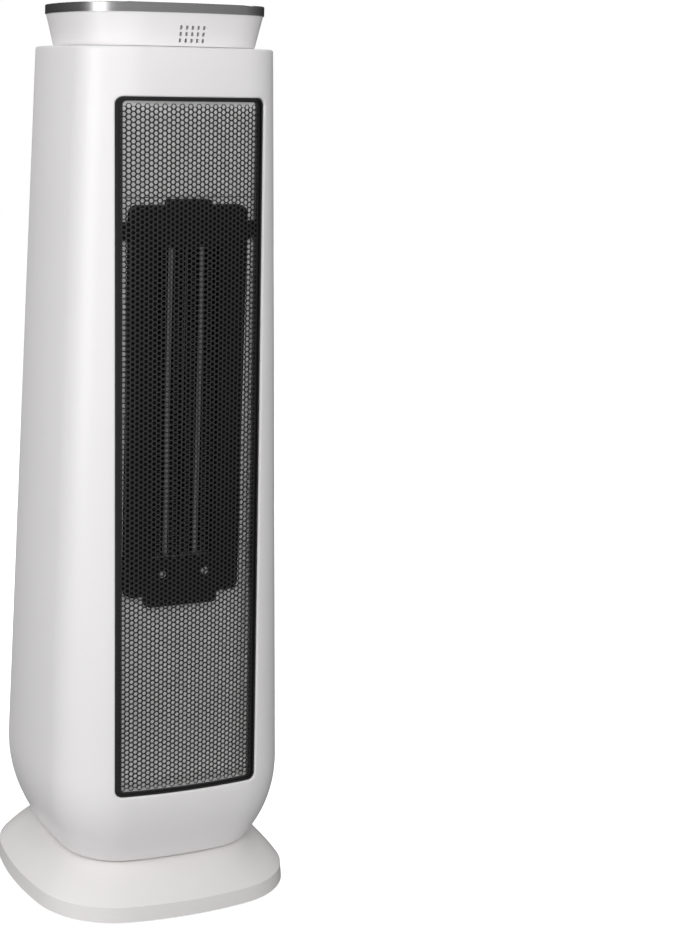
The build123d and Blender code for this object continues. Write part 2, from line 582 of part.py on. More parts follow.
def make_heater():
    front = module_front()
    housing = module_outline(0, front, MODULE_BACK)
    housing = fillet(housing.edges().filter_by(lambda e: abs(e.center().Y - front) < 0.01), 0.8)
    for side in (-1, 1):
        inner = side * (MODULE_WIDTH / 2 - 3)
        outer = side * (MODULE_WIDTH / 2 + LUG_REACH)
        top = MODULE_TOP - LUG_BELOW_TOP
        y = front + LUG_SETBACK
        lug = block(min(inner, outer), max(inner, outer), y, y + LUG_THICKNESS, top - LUG_HEIGHT, top)
        lug = fillet(lug.edges().filter_by(Axis.Y), 1.5)
        housing += lug - rod_y(LUG_HOLE_RADIUS, y - 1, y + LUG_THICKNESS + 1,
                               side * (MODULE_WIDTH + LUG_REACH) / 2, top - LUG_HEIGHT / 2)
    half = WINDOW_WIDTH / 2
    housing -= panel_y(WINDOW_WIDTH, WINDOW_LOW, WINDOW_TOP, 1.0, front - 1, MODULE_BACK + 1)
    inside = front + MODULE_FACE
    housing -= block(-half, half, inside, MODULE_BACK + 1, WINDOW_LOW - WINDOW_POCKET,
                     WINDOW_TOP + WINDOW_POCKET)
    for side in (-1, 1):
        near = side * (half + 2.0)
        far = side * (MODULE_WIDTH / 2 - 2.0)
        housing -= block(min(near, far), max(near, far), inside, MODULE_BACK + 1,
                         MODULE_LOW + 2, MODULE_TOP - 2)
    screws = []
    z = MODULE_LOW + HEATER_SCREW_ABOVE
    for side in (-1, 1):
        x = side * HEATER_SCREW_OFFSET
        housing -= rod_y(SCREW_SHANK_RADIUS, front - 1, inside + 1, x, z)
        head = rod_y(SCREW_HEAD_RADIUS, front - SCREW_HEAD_HEIGHT, front, x, z)
        head = fillet(head.edges().group_by(Axis.Y)[0], 0.9)
        y = front - SCREW_HEAD_HEIGHT
        long, wide = SCREW_CROSS
        cross = block(x - long, x + long, y - 1, y + 0.9, z - wide, z + wide)
        cross += block(x - wide, x + wide, y - 1, y + 0.9, z - long, z + long)
        shank = rod_y(SCREW_SHANK_RADIUS, front, inside + 0.9, x, z)
        screws.append((head - cross) + shank)
    parts["heater_housing"] = housing
    parts["heater_screws"] = Compound(children=screws)

    y0 = front + ELEMENT_SETBACK
    y1 = y0 + ELEMENT_DEPTH
    low = WINDOW_LOW - CAP_OVERLAP
    high = WINDOW_TOP + CAP_OVERLAP
    tubes = []
    stones = []
    count = int((high - low) // (STONE_LENGTH + STONE_GAP))
    start = (low + high) / 2 - (count * STONE_LENGTH + (count - 1) * STONE_GAP) / 2
    for side in (-1, 1):
        x = side * TUBE_OFFSET
        half_tube = TUBE_THICKNESS / 2
        tube = block(x - half_tube, x + half_tube, y0 - TUBE_PROUD, y1, low, high)
        hollow = half_tube - TUBE_WALL
        tube -= block(x - hollow, x + hollow, y0 - TUBE_PROUD + TUBE_WALL, y1 - TUBE_WALL,
                      low - 1, high + 1)
        tubes.append(tube)
        for number in range(count):
            z = start + number * (STONE_LENGTH + STONE_GAP)
            stones.append(block(x - hollow + 0.05, x + hollow - 0.05, y0 + 0.2, y1 - 1, z,
                                z + STONE_LENGTH))
    parts["heater_tubes"] = Compound(children=tubes)
    parts["ceramic_stones"] = Compound(children=stones)

    edge = half - SIDE_PLATE - 0.1
    plates = [block(x - SIDE_PLATE / 2, x + SIDE_PLATE / 2, y0, y1, low, high)
              for x in (-edge - SIDE_PLATE / 2, 0, edge + SIDE_PLATE / 2)]
    parts["electrode_plates"] = Compound(children=plates)

    inner_gap = TUBE_OFFSET - TUBE_THICKNESS / 2
    outer_gap = TUBE_OFFSET + TUBE_THICKNESS / 2
    stacks = []
    for x0, x1 in ((SIDE_PLATE / 2, inner_gap), (outer_gap, edge)):
        stacks.append(fin_stack(x0, x1, y0 + 0.4, y1))
        stacks.append(fin_stack(-x1, -x0, y0 + 0.4, y1))
    parts["heater_fins"] = Compound(children=stacks)

    caps = []
    for z0, z1, cut0, cut1 in ((low - 4, low + CAP_OVERLAP - 1, low, low + 20),
                               (high - CAP_OVERLAP + 1, high + 4, high - 20, high)):
        cap = block(-half + 0.2, half - 0.2, y0 - 2, y1 + 2, z0, z1)
        for side in (-1, 1):
            x = side * TUBE_OFFSET
            cap -= block(x - TUBE_THICKNESS / 2 - 0.05, x + TUBE_THICKNESS / 2 + 0.05,
                         y0 - 0.65, y1 + 0.05, cut0, cut1)
        for x in (-edge - SIDE_PLATE / 2, 0, edge + SIDE_PLATE / 2):
            cap -= block(x - SIDE_PLATE / 2 - 0.05, x + SIDE_PLATE / 2 + 0.05,
                         y0 - 0.05, y1 + 0.05, cut0, cut1)
        caps.append(cap)
    parts["element_caps"] = Compound(children=caps)

    z = MODULE_TOP - 6
    cutout = rod_y(5.5, MODULE_BACK, MODULE_BACK + 6, 0, z)
    cutout += block(-11, 11, MODULE_BACK, MODULE_BACK + 1.2, z - 3, z + 3)
    parts["thermal_cutout"] = cutout


def fin_stack(x0, x1, y0, y1):
    """One folded strip of fin metal between two plates."""
    count = int((WINDOW_TOP - WINDOW_LOW + 4) // FIN_PITCH)
    start = (WINDOW_LOW + WINDOW_TOP) / 2 - count * FIN_PITCH / 2
    step = FIN_PITCH / 2
    reach = FIN_THICKNESS / 2 * sqrt((x1 - x0) ** 2 + step ** 2) / step
    near = []
    far = []
    for fold in range(2 * count + 1):
        x = x0 + reach if fold % 2 else x1 - reach
        near.append((x - reach, start + fold * step))
        far.append((x + reach, start + fold * step))
    outline = Polyline(*near, *reversed(far), close=True)
    return Pos(0, y1, 0) * Rot(90, 0, 0) * extrude(make_face(outline), y1 - y0)


# ---------------------------------------------------------------- fan
def make_fan():
    half = WINDOW_WIDTH / 2
    wide = FAN_RADIUS + SCROLL_SIDE_GAP
    back = FAN_Y + FAN_RADIUS + SCROLL_BACK_GAP
    height = DUCT_TOP - DUCT_LOW
    scroll = Polyline((half, MODULE_BACK), (wide, MODULE_BACK + 16), (wide, FAN_Y))
    sweep_arc = ThreePointArc((wide, FAN_Y), (wide * 0.78, FAN_Y + 0.78 * (back - FAN_Y)), (0, back))
    wall = trace(scroll, DUCT_WALL) + trace(sweep_arc, DUCT_WALL)
    keep = block(-80, 80, MODULE_BACK, 80, -1, height + 1)
    parts["fan_scroll"] = Pos(0, 0, DUCT_LOW) * (extrude(wall, height) & keep)
    tongue = Polyline((-half, MODULE_BACK), (-wide, MODULE_BACK + 16), (-wide + 1, FAN_Y - 12))
    parts["fan_tongue"] = Pos(0, 0, DUCT_LOW) * (extrude(trace(tongue, DUCT_WALL), height) & keep)

    reach = wide + 4
    lower = block(-reach, reach, MODULE_BACK + 0.1, back + 2, DUCT_LOW - DUCT_PLATE, DUCT_LOW)
    upper = block(-reach, reach, MODULE_BACK + 0.1, back + 2, DUCT_TOP, DUCT_TOP + DUCT_PLATE)
    parts["duct_floor"] = lower - post(SHAFT_RADIUS + 3, 0, DUCT_LOW + 1, 0, FAN_Y)
    parts["duct_roof"] = upper - post(FAN_BUSH_RADIUS, DUCT_TOP - 1, DUCT_TOP + 9, 0, FAN_Y)
    bush = post(FAN_BUSH_RADIUS, DUCT_TOP, DUCT_TOP + 6, 0, FAN_Y)
    bush += post(FAN_BUSH_RADIUS + 2, DUCT_TOP + DUCT_PLATE, DUCT_TOP + DUCT_PLATE + 1.5, 0, FAN_Y)
    parts["shaft_bush"] = bush - post(SHAFT_RADIUS + RUNNING, 0, 900, 0, FAN_Y)

    low = DUCT_LOW + FAN_END_GAP
    high = DUCT_TOP - FAN_END_GAP
    bay = (high - low - FAN_DISC) / FAN_BAYS
    wheel = post(FAN_RADIUS, low, low + FAN_DISC)
    for number in range(1, FAN_BAYS + 1):
        wheel += post(FAN_RADIUS, low + number * bay, low + number * bay + FAN_DISC)
    wheel -= post(FAN_RADIUS - BLADE_LENGTH - 2, low + FAN_DISC + 1, high - FAN_DISC - 1)
    middle = FAN_RADIUS - BLADE_LENGTH / 2 - 0.5
    for number in range(FAN_BLADES):
        blade = Box(BLADE_LENGTH, BLADE_THICKNESS, high - low)
        place = Rot(0, 0, number * 360 / FAN_BLADES) * Pos(middle, 0, (low + high) / 2)
        wheel += place * Rot(0, 0, BLADE_ANGLE) * blade
    wheel -= post(SHAFT_RADIUS, 0, 900)
    parts["fan_wheel"] = Pos(0, FAN_Y, 0) * wheel

    stator_top = DUCT_LOW - DUCT_PLATE - FAN_MOTOR_DROP
    stator_low = stator_top - STATOR_HEIGHT
    shaft_low = stator_low - 12
    parts["fan_shaft"] = post(SHAFT_RADIUS, shaft_low, DUCT_TOP + 5, 0, FAN_Y)
    rotor = post(ROTOR_RADIUS, stator_low, stator_top, 0, FAN_Y)
    parts["motor_rotor"] = rotor - post(SHAFT_RADIUS, 0, 900, 0, FAN_Y)

    arm = STATOR_WIDTH / 2
    stator = block(-arm, arm, FAN_Y - 40, FAN_Y + 22, stator_low, stator_top)
    stator = fillet(stator.edges().filter_by(Axis.Z), 3)
    stator -= post(ROTOR_RADIUS + ROTOR_AIR_GAP, 0, 900, 0, FAN_Y)
    stator -= block(-arm + 14, arm - 14, FAN_Y - 30, FAN_Y - 20, stator_low - 1, stator_top + 1)
    parts["fan_stator"] = stator
    coil = block(-arm + 15, arm - 15, FAN_Y - 46, FAN_Y - 24, stator_low - 6, stator_top + 6)
    coil = fillet(coil.edges().filter_by(Axis.X), 3)
    coil -= block(-arm, arm, FAN_Y - 40, FAN_Y - 30, stator_low, stator_top)
    parts["motor_coil"] = coil

    plate_low = DUCT_LOW - DUCT_PLATE - 2
    bracket = block(-arm, arm, FAN_Y - 10, FAN_Y + 20, plate_low, plate_low + 2)
    for side in (-1, 1):
        bracket += post(3.5, stator_top, plate_low, side * (arm - 6), FAN_Y + 14)
    bracket -= post(SHAFT_RADIUS + 3, 0, 900, 0, FAN_Y)
    yoke = block(-arm, arm, FAN_Y - 5, FAN_Y + 5, stator_low - 10, stator_low - 8)
    for side in (-1, 1):
        yoke += post(3.0, stator_low - 8, stator_low, side * (arm - 6), FAN_Y)
    yoke += post(6, stator_low - 13, stator_low - 8, 0, FAN_Y)
    yoke -= post(SHAFT_RADIUS + RUNNING, 0, 900, 0, FAN_Y)
    parts["motor_brackets"] = Compound(children=[bracket, yoke])


# ---------------------------------------------------------------- mains switch and power board
def make_electrics():
    y = body_half(ROCKER_HEIGHT)
    pivot = y - 4.0
    half = ROCKER_RADIUS + 1.5
    width = ROCKER_WIDTH + 3.8
    housing = panel_y(width, ROCKER_HEIGHT - half, ROCKER_HEIGHT + half, 0.9,
                      y - ROCKER_HOUSING_DEPTH, y + 1.8)
    housing += panel_y(width + ROCKER_FLANGE, ROCKER_HEIGHT - half - 1.5, ROCKER_HEIGHT + half + 1.5,
                       1.5, y + 0.7, y + 1.8)
    cavity = Pos(0, pivot, ROCKER_HEIGHT) * Rot(0, 90, 0) * Cylinder(ROCKER_RADIUS + LOOSE,
                                                                   ROCKER_WIDTH + 2 * LOOSE)
    housing -= cavity
    parts["switch_housing"] = housing
    rocker = Rot(0, 90, 0) * Cylinder(ROCKER_RADIUS, ROCKER_WIDTH)
    for side in (-1, 1):
        slab = Box(ROCKER_WIDTH + 2, 20, 40)
        rocker -= Rot(-side * ROCKER_TILT, 0, 0) * Pos(0, 10 + 5.0, side * 20) * slab
    rocker -= Pos(0, -14, 0) * Box(ROCKER_WIDTH + 2, 20, 40)
    place = Pos(0, pivot, ROCKER_HEIGHT) * Rot(-ROCKER_TILT, 0, 0)
    parts["mains_rocker"] = place * rocker

    x = BOARD_WIDTH / 2
    top = BOARD_LOW + BOARD_HEIGHT
    board = block(-x, x, BOARD_Y, BOARD_Y + BOARD_THICKNESS, BOARD_LOW, top)
    parts["power_board"] = board
    face = BOARD_Y + BOARD_THICKNESS
    wide, deep, tall = RELAY
    relays = [block(px, px + wide, face, face + deep, top - 6 - tall, top - 6) for px in (-40, -16)]
    capacitor = rod_y(CAPACITOR_RADIUS, face, face + CAPACITOR_LENGTH, 28, top - 16)
    left = 4 - x
    low = BOARD_LOW + 8
    sink = block(left, left + SINK_FINS * SINK_PITCH - SINK_PITCH, face, face + SINK_DEPTH, low, low + 4)
    for fin in range(SINK_FINS):
        fin_x = left + fin * SINK_PITCH
        sink += block(fin_x, fin_x + 1, face, face + SINK_DEPTH, low, low + SINK_HEIGHT)
    terminals = block(14, 42, face, face + 9, BOARD_LOW + 6, BOARD_LOW + 18)
    parts["board_parts"] = Compound(children=relays + [capacitor, sink, terminals])


# ---------------------------------------------------------------- head
def cup_half(z):
    low = DECK + HEAD_SHADOW_GAP
    share = (z - low) / (RING_LOW - low)
    return (CUP_LOW_WIDTH + (CUP_TOP_WIDTH - CUP_LOW_WIDTH) * share) / 2


def head_face(half, z, inset=0.0):
    return squircle(half, z, BASE_BOW, BASE_CORNER, inset)


def make_head():
    low = DECK + HEAD_SHADOW_GAP
    ring_inner = RING_WIDTH / 2 - RING_THICKNESS
    cup = loft_through([head_face(cup_half(low), low), head_face(cup_half(RING_LOW), RING_LOW)], True)
    cup += extrude(head_face(ring_inner - SNUG, RING_LOW), PANEL_LOW - RING_LOW)
    cup += extrude(squircle(CUP_LOW_WIDTH / 2 - 3 - SNUG, DECK - WALL), low - DECK + WALL)
    hollow_low = low + WALL
    cup -= loft_through([head_face(cup_half(low) - WALL, hollow_low),
                         head_face(cup_half(RING_LOW) - WALL - 1, RING_LOW)], True)
    cup -= extrude(head_face(ring_inner - SNUG - WALL, RING_LOW - 1), PANEL_LOW - RING_LOW + 5)
    cup -= post(12, DECK - 2 * WALL, low + 2 * WALL)
    board_low = PANEL_LOW - DISPLAY_BOARD_DROP
    off = DISPLAY_POST_OFFSET
    corners = [(sx * off, sy * off) for sx in (-1, 1) for sy in (-1, 1)]
    for x, y in corners:
        cup += post(3, hollow_low - 0.5, board_low, x, y)
    middle = RING_LOW - VENT_MIDDLE_BELOW_RING
    for row in (-1, 0, 1):
        for column in range(-2, 3):
            z = middle + row * VENT_PITCH
            cup -= block(column * VENT_PITCH - VENT_WIDTH / 2, column * VENT_PITCH + VENT_WIDTH / 2,
                         -90, -40, z - VENT_HEIGHT / 2, z + VENT_HEIGHT / 2)
    parts["head_cup"] = cup

    ring = extrude(head_face(RING_WIDTH / 2, RING_LOW), RING_HEIGHT)
    ring = fillet(ring.edges().filter_by(lambda e: abs(e.center().Z - TOTAL_HEIGHT) < 0.01), 0.8)
    parts["trim_ring"] = ring - extrude(head_face(ring_inner, RING_LOW - 1), RING_HEIGHT + 2)

    panel = extrude(head_face(ring_inner - SNUG, PANEL_LOW), PANEL_THICKNESS)
    width, depth = DIGIT_WINDOW
    pane = Pos(0, DIGIT_WINDOW_Y, PANEL_LOW) * extrude(RectangleRounded(width, depth, 3),
                                                      PANEL_THICKNESS)
    hole = Pos(0, DIGIT_WINDOW_Y, PANEL_LOW - 1) * extrude(
        RectangleRounded(width + 2 * SNUG, depth + 2 * SNUG, 3 + SNUG), PANEL_THICKNESS + 2)
    panel -= hole
    parts["digit_window"] = pane

    board_top = board_low + BOARD_THICKNESS
    stem_low = board_top + 4 + KEY_TRAVEL + SNUG
    names = (("key_timer", "key_mode", "key_swing"), ("key_minus", "key_power", "key_plus"))
    switches = []
    for row in range(2):
        for column in range(3):
            x = (column - 1) * KEY_PITCH_X
            y = KEY_FIRST_ROW + row * KEY_PITCH_Y
            panel -= post(KEY_RADIUS + LOOSE, PANEL_LOW - 1, PANEL_TOP + 1, x, y)
            cap = post(KEY_RADIUS, PANEL_LOW, PANEL_TOP + 0.6, x, y)
            cap = fillet(cap.edges().group_by(Axis.Z)[-1], 0.5)
            cap += post(KEY_RADIUS + 1.5, PANEL_LOW - 1.5, PANEL_LOW - 0.2, x, y)
            cap += post(KEY_RADIUS, PANEL_LOW - 1.5, PANEL_LOW, x, y)
            cap += post(2, stem_low, PANEL_LOW - 1.5, x, y)
            parts[names[row][column]] = cap
            switches.append(block(x - 3, x + 3, y - 3, y + 3, board_top, board_top + 4))
    parts["control_panel"] = panel
    parts["key_switches"] = Compound(children=switches)

    board = extrude(head_face(DISPLAY_BOARD_HALF, board_low), BOARD_THICKNESS)
    parts["display_board"] = board
    digits = block(-width / 2 + 4, width / 2 - 4, DIGIT_WINDOW_Y - depth / 2 + 2,
                   DIGIT_WINDOW_Y + depth / 2 - 2, board_top, PANEL_LOW - 0.5)
    parts["digit_module"] = digits


make_base()
make_swing_drive()
make_shells()
make_filter()
make_front()
make_heater()
make_fan()
make_electrics()
make_head()

os.makedirs("parts", exist_ok=True)
for name, shape in parts.items():
    export_step(shape, f"parts/{name}.step")
print(len(parts), "nodes")
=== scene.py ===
"""Looks of a ceramic tower heater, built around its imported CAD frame."""

import json
import math

import bpy
from mathutils import Matrix, Vector
from mathutils.bvhtree import BVHTree


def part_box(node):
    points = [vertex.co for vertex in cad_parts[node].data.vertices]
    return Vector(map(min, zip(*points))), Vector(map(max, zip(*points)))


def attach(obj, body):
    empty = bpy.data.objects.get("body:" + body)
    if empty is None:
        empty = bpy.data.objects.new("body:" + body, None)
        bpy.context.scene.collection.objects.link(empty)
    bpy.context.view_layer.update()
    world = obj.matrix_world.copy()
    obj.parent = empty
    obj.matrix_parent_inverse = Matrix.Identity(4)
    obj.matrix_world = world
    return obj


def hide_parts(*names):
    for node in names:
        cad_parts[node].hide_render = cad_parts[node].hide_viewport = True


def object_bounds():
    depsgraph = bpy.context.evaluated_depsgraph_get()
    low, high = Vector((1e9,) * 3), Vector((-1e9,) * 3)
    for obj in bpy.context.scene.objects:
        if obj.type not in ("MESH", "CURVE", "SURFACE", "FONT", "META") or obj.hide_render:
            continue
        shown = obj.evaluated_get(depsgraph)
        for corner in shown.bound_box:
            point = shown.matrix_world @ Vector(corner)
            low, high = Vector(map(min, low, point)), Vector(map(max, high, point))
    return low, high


bl_info = {
    "name": "Ceramic tower heater",
    "version": (1, 0, 0),
    "blender": (4, 5, 0),
    "location": "3D View > Sidebar > Heater",
    "description": "Finishes, guard, fins, key symbols and studio for a tower heater",
    "category": "Object",
}

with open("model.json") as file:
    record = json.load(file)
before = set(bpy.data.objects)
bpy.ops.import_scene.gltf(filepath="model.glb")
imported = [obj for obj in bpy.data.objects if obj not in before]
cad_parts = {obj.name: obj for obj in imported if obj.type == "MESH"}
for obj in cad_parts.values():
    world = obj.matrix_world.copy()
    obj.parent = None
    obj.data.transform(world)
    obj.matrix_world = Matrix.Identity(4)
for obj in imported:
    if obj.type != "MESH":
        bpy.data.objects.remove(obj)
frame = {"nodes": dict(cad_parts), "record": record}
CAD_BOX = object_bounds()
NODES = frame["nodes"]

WELD = 1e-6                   # corners closer than this are one corner
CREASE = math.radians(28)     # a sharper edge of the CAD stays sharp
PLATE_HALF = 0.0005           # half of the plate between the middle fin strips
RAY_START = 0.5               # in front of the guard
SHELL_FLOW = 9.0              # noise scales on moulded plastic
SHELL_SMUDGE = 35.0
FLOOR_REACH = 6.0
FLOOR_GLOW = 0.76
LIGHT_DISTANCE = 1.4
SENSOR = 36.0                 # millimetres, as the camera takes it


# ---------------------------------------------------------------- settings
class HeaterFinish(bpy.types.PropertyGroup):
    """Colours and surface sizes."""

    shell_tint: bpy.props.FloatVectorProperty(
        name="Shell", description="Colour of the moulded shells", subtype="COLOR",
        default=(0.86, 0.845, 0.848))
    base_tint: bpy.props.FloatVectorProperty(
        name="Base", description="Colour of the base cover", subtype="COLOR",
        default=(0.82, 0.80, 0.795))
    module_tint: bpy.props.FloatVectorProperty(
        name="Heater module", description="Colour of the heat-proof housing", subtype="COLOR",
        default=(0.006, 0.006, 0.007))
    liner_tint: bpy.props.FloatVectorProperty(
        name="Liner", description="Colour of the liner behind the guard", subtype="COLOR",
        default=(0.93, 0.925, 0.92))
    texture_size: bpy.props.FloatProperty(
        name="Moulded grain", description="Size of the grain on moulded plastic", unit="LENGTH",
        default=0.0006)


class HeaterGuard(bpy.types.PropertyGroup):
    """Sizes of the perforated guard."""

    pitch: bpy.props.FloatProperty(
        name="Hole pitch", description="From one hole to the hole above it", unit="LENGTH",
        default=0.00327)
    open_share: bpy.props.FloatProperty(
        name="Hole width share", description="Width of a hole over the pitch", default=0.75)
    sheet: bpy.props.FloatProperty(
        name="Sheet", description="Thickness of the perforated sheet", unit="LENGTH",
        default=0.0006)


class HeaterFins(bpy.types.PropertyGroup):
    """Sizes of the folded fin strips between the heater tubes."""

    pitch: bpy.props.FloatProperty(
        name="Fin pitch", description="From one fold of a strip to the next", unit="LENGTH",
        default=0.0018)
    sheet: bpy.props.FloatProperty(
        name="Fin metal", description="Thickness of the strip", unit="LENGTH", default=0.0002)
    tube: bpy.props.FloatProperty(
        name="Tube width", description="Width of a heater tube between two strips", unit="LENGTH",
        default=0.003)


class HeaterVents(bpy.types.PropertyGroup):
    """Sizes of the black sheet behind the vents in the head; the sheet is painted shade that makes
    the vents dark.
    """

    vent_drop: bpy.props.FloatProperty(
        name="Vents", description="Middle of the vents under the trim ring", unit="LENGTH",
        default=0.0127)
    shade_sheet_width: bpy.props.FloatProperty(
        name="Gauze width", description="Width of the gauze", unit="LENGTH", default=0.019)
    shade_sheet_height: bpy.props.FloatProperty(
        name="Gauze height", description="Height of the gauze", unit="LENGTH", default=0.0135)
    shade_sheet_inset: bpy.props.FloatProperty(
        name="Inset", description="From the wall's inner face to the gauze moulded into it",
        unit="LENGTH", default=0.0026)
    shade_sheet_thickness: bpy.props.FloatProperty(
        name="Gauze", description="Thickness of the gauze", unit="LENGTH", default=0.0004)


class HeaterPanel(bpy.types.PropertyGroup):
    """Symbols on the keys and the lit digits."""

    symbol_size: bpy.props.FloatProperty(
        name="Symbol size", description="Half height of a key symbol", unit="LENGTH",
        default=0.0027)
    stroke: bpy.props.FloatProperty(
        name="Stroke", description="Width of a printed line", unit="LENGTH", default=0.0006)
    proud: bpy.props.FloatProperty(
        name="Print height", description="Thickness of the print", unit="LENGTH", default=0.00005)
    digit_height: bpy.props.FloatProperty(
        name="Digit height", description="Height of a lit digit", unit="LENGTH", default=0.012)
    reading: bpy.props.StringProperty(
        name="Reading", description="Digits that are lit", default="24")


class HeaterStudio(bpy.types.PropertyGroup):
    """Camera and light."""

    azimuth: bpy.props.FloatProperty(
        name="Azimuth", description="Turn of the camera round the heater", subtype="ANGLE",
        default=math.radians(-22.93))
    distance: bpy.props.FloatProperty(
        name="Distance", description="From the swing axis, along the floor", unit="LENGTH",
        default=1.209)
    height: bpy.props.FloatProperty(
        name="Height", description="Height of the lens", unit="LENGTH", default=0.5445)
    tilt: bpy.props.FloatProperty(
        name="Tilt", description="Downward tilt", subtype="ANGLE", default=math.radians(11.84))
    roll: bpy.props.FloatProperty(
        name="Roll", description="Roll of the camera", subtype="ANGLE", default=math.radians(1.06))
    focal: bpy.props.FloatProperty(
        name="Focal length", description="In units of the frame's long side", default=1.9655)
    shift: bpy.props.FloatProperty(
        name="Shift", description="Sideways shift of the lens", default=0.2094)
    key_light: bpy.props.FloatProperty(
        name="Key light", description="Brightness that the main soft light gives", default=0.56)
    left_light: bpy.props.FloatProperty(
        name="Left light", description="Brightness that the soft light on the left gives",
        default=0.45)
    back_light: bpy.props.FloatProperty(
        name="Back light", description="Brightness that the high rear light gives", default=0.58)
    strip_light: bpy.props.FloatProperty(
        name="Strip light", description="Brightness that the narrow side light gives",
        default=0.005)
    room_front: bpy.props.FloatProperty(
        name="Room in front", description="Brightness of the room on the camera's side",
        default=0.46)
    room_back: bpy.props.FloatProperty(
        name="Room behind", description="Brightness of the room behind the heater", default=0.0)


# ---------------------------------------------------------------- shader expressions
class Field:
    """A number that varies over a surface; arithmetic on it adds Math nodes."""

    def __init__(self, tree, socket):
        self.tree = tree
        self.socket = socket

    def _math(self, operation, first, second):
        node = self.tree.nodes.new("ShaderNodeMath")
        node.operation = operation
        for place, value in enumerate((first, second)):
            if isinstance(value, Field):
                self.tree.links.new(value.socket, node.inputs[place])
            else:
                node.inputs[place].default_value = value
        return Field(self.tree, node.outputs[0])

    def __add__(self, other):
        return self._math("ADD", self, other)

    def __radd__(self, other):
        return self._math("ADD", other, self)

    def __rsub__(self, other):
        return self._math("SUBTRACT", other, self)

    def __mul__(self, other):
        return self._math("MULTIPLY", self, other)

    def clamped(self):
        held = self._math("ADD", self, 0.0)
        held.socket.node.use_clamp = True
        return held


class Finish:
    """A material under construction."""

    def __init__(self, name, **constants):
        self.material = bpy.data.materials.new(name)
        self.material.use_nodes = True
        self.tree = self.material.node_tree
        self.shader = self.tree.nodes["Principled BSDF"]
        for socket, value in constants.items():
            self.set(socket.replace("_", " ").title(), value)
        self.place = self.tree.nodes.new("ShaderNodeTexCoord").outputs["Object"]

    def set(self, socket, value):
        if isinstance(value, (Field, bpy.types.NodeSocket)):
            source = value.socket if isinstance(value, Field) else value
            self.tree.links.new(source, self.shader.inputs[socket])
        else:
            if isinstance(value, tuple) and len(value) == 3:
                value = (*value, 1.0)
            self.shader.inputs[socket].default_value = value

    def node(self, kind, settings=(), **inputs):
        """A node of any kind: its settings first, then the values or links of its sockets."""
        made = self.tree.nodes.new(kind)
        for key, value in dict(settings).items():
            setattr(made, key, value)
        for key, value in inputs.items():
            socket = made.inputs[key.title()]
            if isinstance(value, Field):
                value = value.socket
            if isinstance(value, bpy.types.NodeSocket):
                self.tree.links.new(value, socket)
            else:
                socket.default_value = value
        return made

    def stretched(self, scale):
        """Object coordinates scaled by axis, in metres."""
        mapping = self.node("ShaderNodeMapping", vector=self.place, scale=scale)
        return mapping.outputs[0]

    def noise(self, scale, detail=2.0, roughness=0.5, vector=None):
        made = self.node("ShaderNodeTexNoise", vector=vector or self.place, scale=scale,
                         detail=detail, roughness=roughness)
        return Field(self.tree, made.outputs["Fac"])

    def blend(self, amount, first, second):
        """A colour between two colours."""
        made = self.node("ShaderNodeMix", {"data_type": "RGBA"})
        self.tree.links.new(amount.socket, made.inputs[0])
        made.inputs[6].default_value = (*first, 1.0)
        made.inputs[7].default_value = (*second, 1.0)
        return made.outputs[2]

    def bump(self, height, strength, distance):
        made = self.node("ShaderNodeBump", strength=strength, distance=distance, height=height)
        self.set("Normal", made.outputs[0])


def shade(colour, factor):
    return tuple(min(1.0, part * factor) for part in colour)


def moulded(name, tint, grain, roughness=0.38, coat=0.0, depth=0.00002, variation=0.03,
            gloss=0.5):
    """Moulded plastic: fine spark-erosion grain, faint flow marks."""
    finish = Finish(name, roughness=roughness, coat_weight=coat, coat_roughness=0.12)
    finish.set("Specular IOR Level", gloss)
    flow = finish.noise(SHELL_FLOW, 3.0, 0.55)
    finish.set("Base Color", finish.blend(flow, shade(tint, 1 - variation),
                                          shade(tint, 1 + variation / 2)))
    fine = finish.noise(1.0 / grain, 1.0, 0.6)
    smudge = finish.noise(SHELL_SMUDGE, 4.0, 0.6)
    finish.set("Roughness", (roughness - 0.05 + fine * 0.06 + smudge * 0.05).clamped())
    finish.bump(fine, 0.35, depth)
    return finish.material


def brushed(name, tint, roughness=0.28, across=(6.0, 6.0, 2600.0)):
    """Metal brushed along its length."""
    finish = Finish(name, metallic=1.0)
    lines = finish.noise(1.0, 3.0, 0.7, finish.stretched(across))
    finish.set("Base Color", finish.blend(lines, shade(tint, 0.86), shade(tint, 1.08)))
    finish.set("Roughness", (roughness - 0.08 + lines * 0.22).clamped())
    finish.bump(lines, 0.25, 0.00001)
    return finish.material


def metal(name, tint, roughness=0.35, scale=400.0):
    """Plain sheet or plated metal with a faint mottle."""
    finish = Finish(name, metallic=1.0)
    mottle = finish.noise(scale, 3.0, 0.6)
    finish.set("Base Color", finish.blend(mottle, shade(tint, 0.88), shade(tint, 1.05)))
    finish.set("Roughness", (roughness - 0.08 + mottle * 0.18).clamped())
    finish.bump(mottle, 0.15, 0.00001)
    return finish.material


def woven(name, tint, thread):
    """Net or tape: two crossed sets of threads."""
    finish = Finish(name, roughness=0.7)
    pitch = 2 * math.pi / thread
    threads = []
    for direction in "XZ":
        wave = finish.node("ShaderNodeTexWave",
                           {"wave_type": "BANDS", "bands_direction": direction},
                           vector=finish.place, scale=pitch / 20)
        threads.append(Field(finish.tree, wave.outputs["Fac"]) * 0.5)
    cross = threads[0] + threads[1]
    finish.set("Base Color", finish.blend(cross, shade(tint, 0.4), shade(tint, 1.5)))
    finish.bump(cross, 0.5, 0.0002)
    return finish.material


def glowing(name, tint, strength):
    """A lit segment whose glow varies a little at random."""
    finish = Finish(name, roughness=0.4, base_color=shade(tint, 0.3), emission_strength=strength)
    cloud = finish.noise(300.0, 1.0)
    finish.set("Emission Color", finish.blend(cloud, shade(tint, 0.75), tint))
    return finish.material


